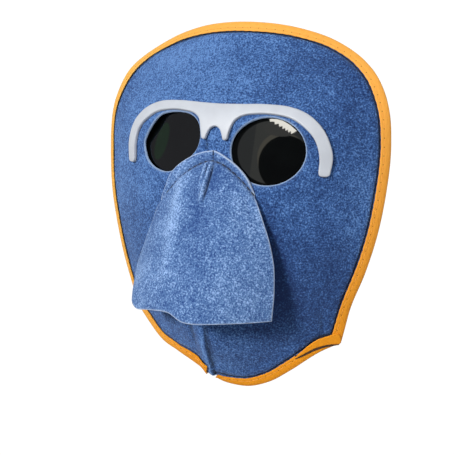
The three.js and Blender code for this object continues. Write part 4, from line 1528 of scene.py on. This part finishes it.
# %% Glow of the screens
GLOWS = [  # name, colour, strength
    ("dark screen", (0.85, 0.93, 1.0), 0.045), ("olive screen", (1.0, 0.95, 0.78), 0.95),
    ("grey screen", (0.97, 1.0, 0.95), 0.6), ("green screen", (0.6, 1.0, 0.7), 0.4),
    ("right wall", (0.93, 0.98, 1.0), 0.43), ("left wall", (0.9, 0.9, 1.0), 0.26),
    ("hazy screen", (1.0, 1.0, 0.95), 0.62), ("strip lamp", (1.0, 0.97, 0.88), 14)]
glows = {}
for name, color, strength in GLOWS:
    glows[name], tree = bare(name)
    light = add(tree, "ShaderNodeEmission", Color=(*color, 1), Strength=strength)
    feed(tree, light.outputs[0], tree.nodes["Material Output"].inputs["Surface"])


# %% Screens that the lenses mirror
def screen(name, look, hand, across, up, outline, distance=0.8, hole=()):
    """A flat screen that shows at this place in a lens: millimetres across and up from its middle."""
    middle = Vector((hand * EYE_X + across, LENS_Y + TOE * hand * across + LEAN * up, EYE_Z + up)) * MM
    facing = Vector((hand * TOE, -1, LEAN)).normalized()
    sight = (middle - camera.location).normalized()
    mirrored = sight - 2 * sight.dot(facing) * facing
    place = middle + mirrored * distance
    turned = mirrored.to_track_quat("-Z", "Y")
    count = len(outline)
    faces = [tuple(range(count))]
    if len(hole):
        faces = [(k, (k + 1) % count, count + (k + 1) % count, count + k) for k in range(count)]
    points = [place + turned @ Vector((-x, z, 0)) * MM for x, z in [*outline, *hole]]
    piece = new_piece(name, np.array(points) / MM, faces)
    dress(piece, glows[look])
    for ray in ("camera", "diffuse", "transmission", "volume_scatter", "shadow"):
        setattr(piece, f"visible_{ray}", False)


def oval_screen(name, look, hand, across, up, width, height, distance=0.8, hole=()):
    screen(name, look, hand, across, up, oval(0, 0, width, height, 64), distance, hole)


STREAK = [(-2, 60), (30, 60), (28, -60), (-4, -60)]
TEETH = [
    (19, -4), (12, -9), (11, -5), (8, -7.5), (7, -3.5), (4, -5.5), (3, -1.5), (0, -3.5), (-1, 0.5),
    (-5, -1), (-6, 3), (-11, 1.5), (-12, 5), (-18, 4.5)]
STRIP = [(-19, 9), (-9, 9), (0, 7), (9, 3), *TEETH]
oval_screen("right_wall", "right wall", 1, 0, 0, 400, 400, 1.0)
oval_screen("left_wall", "left wall", -1, 0, 0, 400, 400, 1.0)
oval_screen("dark_screen", "dark screen", 1, 12, -9, 80, 84)
oval_screen("olive_screen", "olive screen", 1, 9, -5, 74, 78, 0.82)
oval_screen("surround", "dark screen", 1, 1.5, -1.5, 300, 300, 0.83, hole=oval(0, 0, 104, 95, 64))
oval_screen("green_streak", "green screen", -1, -11, 1, 17, 58)
oval_screen("haze", "hazy screen", 1, 5, 15, 46, 20, 0.75)
screen("grey_streak", "grey screen", 1, -11, 0, STREAK, 0.85)
screen("strip_lamp", "strip lamp", 1, 7.4, 17.2, STRIP, 0.66)
print("the lenses mirror", len(glows), "kinds of screen")

# %% [markdown]
# ## The pieces in place
#
# Each piece takes its finish, rides with the mask and stands for its solid, which is hidden. The two
# suedes are cut from flat hides.

# %% Place the pieces
handover = [
    (face_panel, "face_panel", "panel_suede", panel_finish),
    (nose_flap, "nose_flap", "flap_suede", flap_finish),
    (seam_thread, "nose_flap", "flap_suede", dark_thread),
    (dart_thread, "nose_flap", "flap_suede", dark_thread),
    (edge_tape, "edge_binding", "edge_tape", tape_finish),
    (tape_end, "edge_binding", "edge_tape", tape_finish),
    (slit_shadow_lining, "edge_binding", "edge_tape", slit_shadow_finish),
    (edge_thread, "edge_binding", "edge_tape", orange_thread),
    (chin_tape, "chin_binding", "edge_tape", tape_finish),
    (chin_thread, "chin_binding", "edge_tape", orange_thread),
    (brow_bar, "brow_bar", "bar_plastic", bar_finish),
    (flange, "eye_frame", "frame_plastic", frame_finish),
    (lenses["right"], "lens_right", "lens_glass", glass_finish),
    (lenses["left"], "lens_left", "lens_glass", glass_finish),
    (head_band, "head_strap", "band_webbing", band_finish)]
for piece, node, slot, look in handover:
    dress(piece, look)
    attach(piece, "root")
    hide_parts(node)
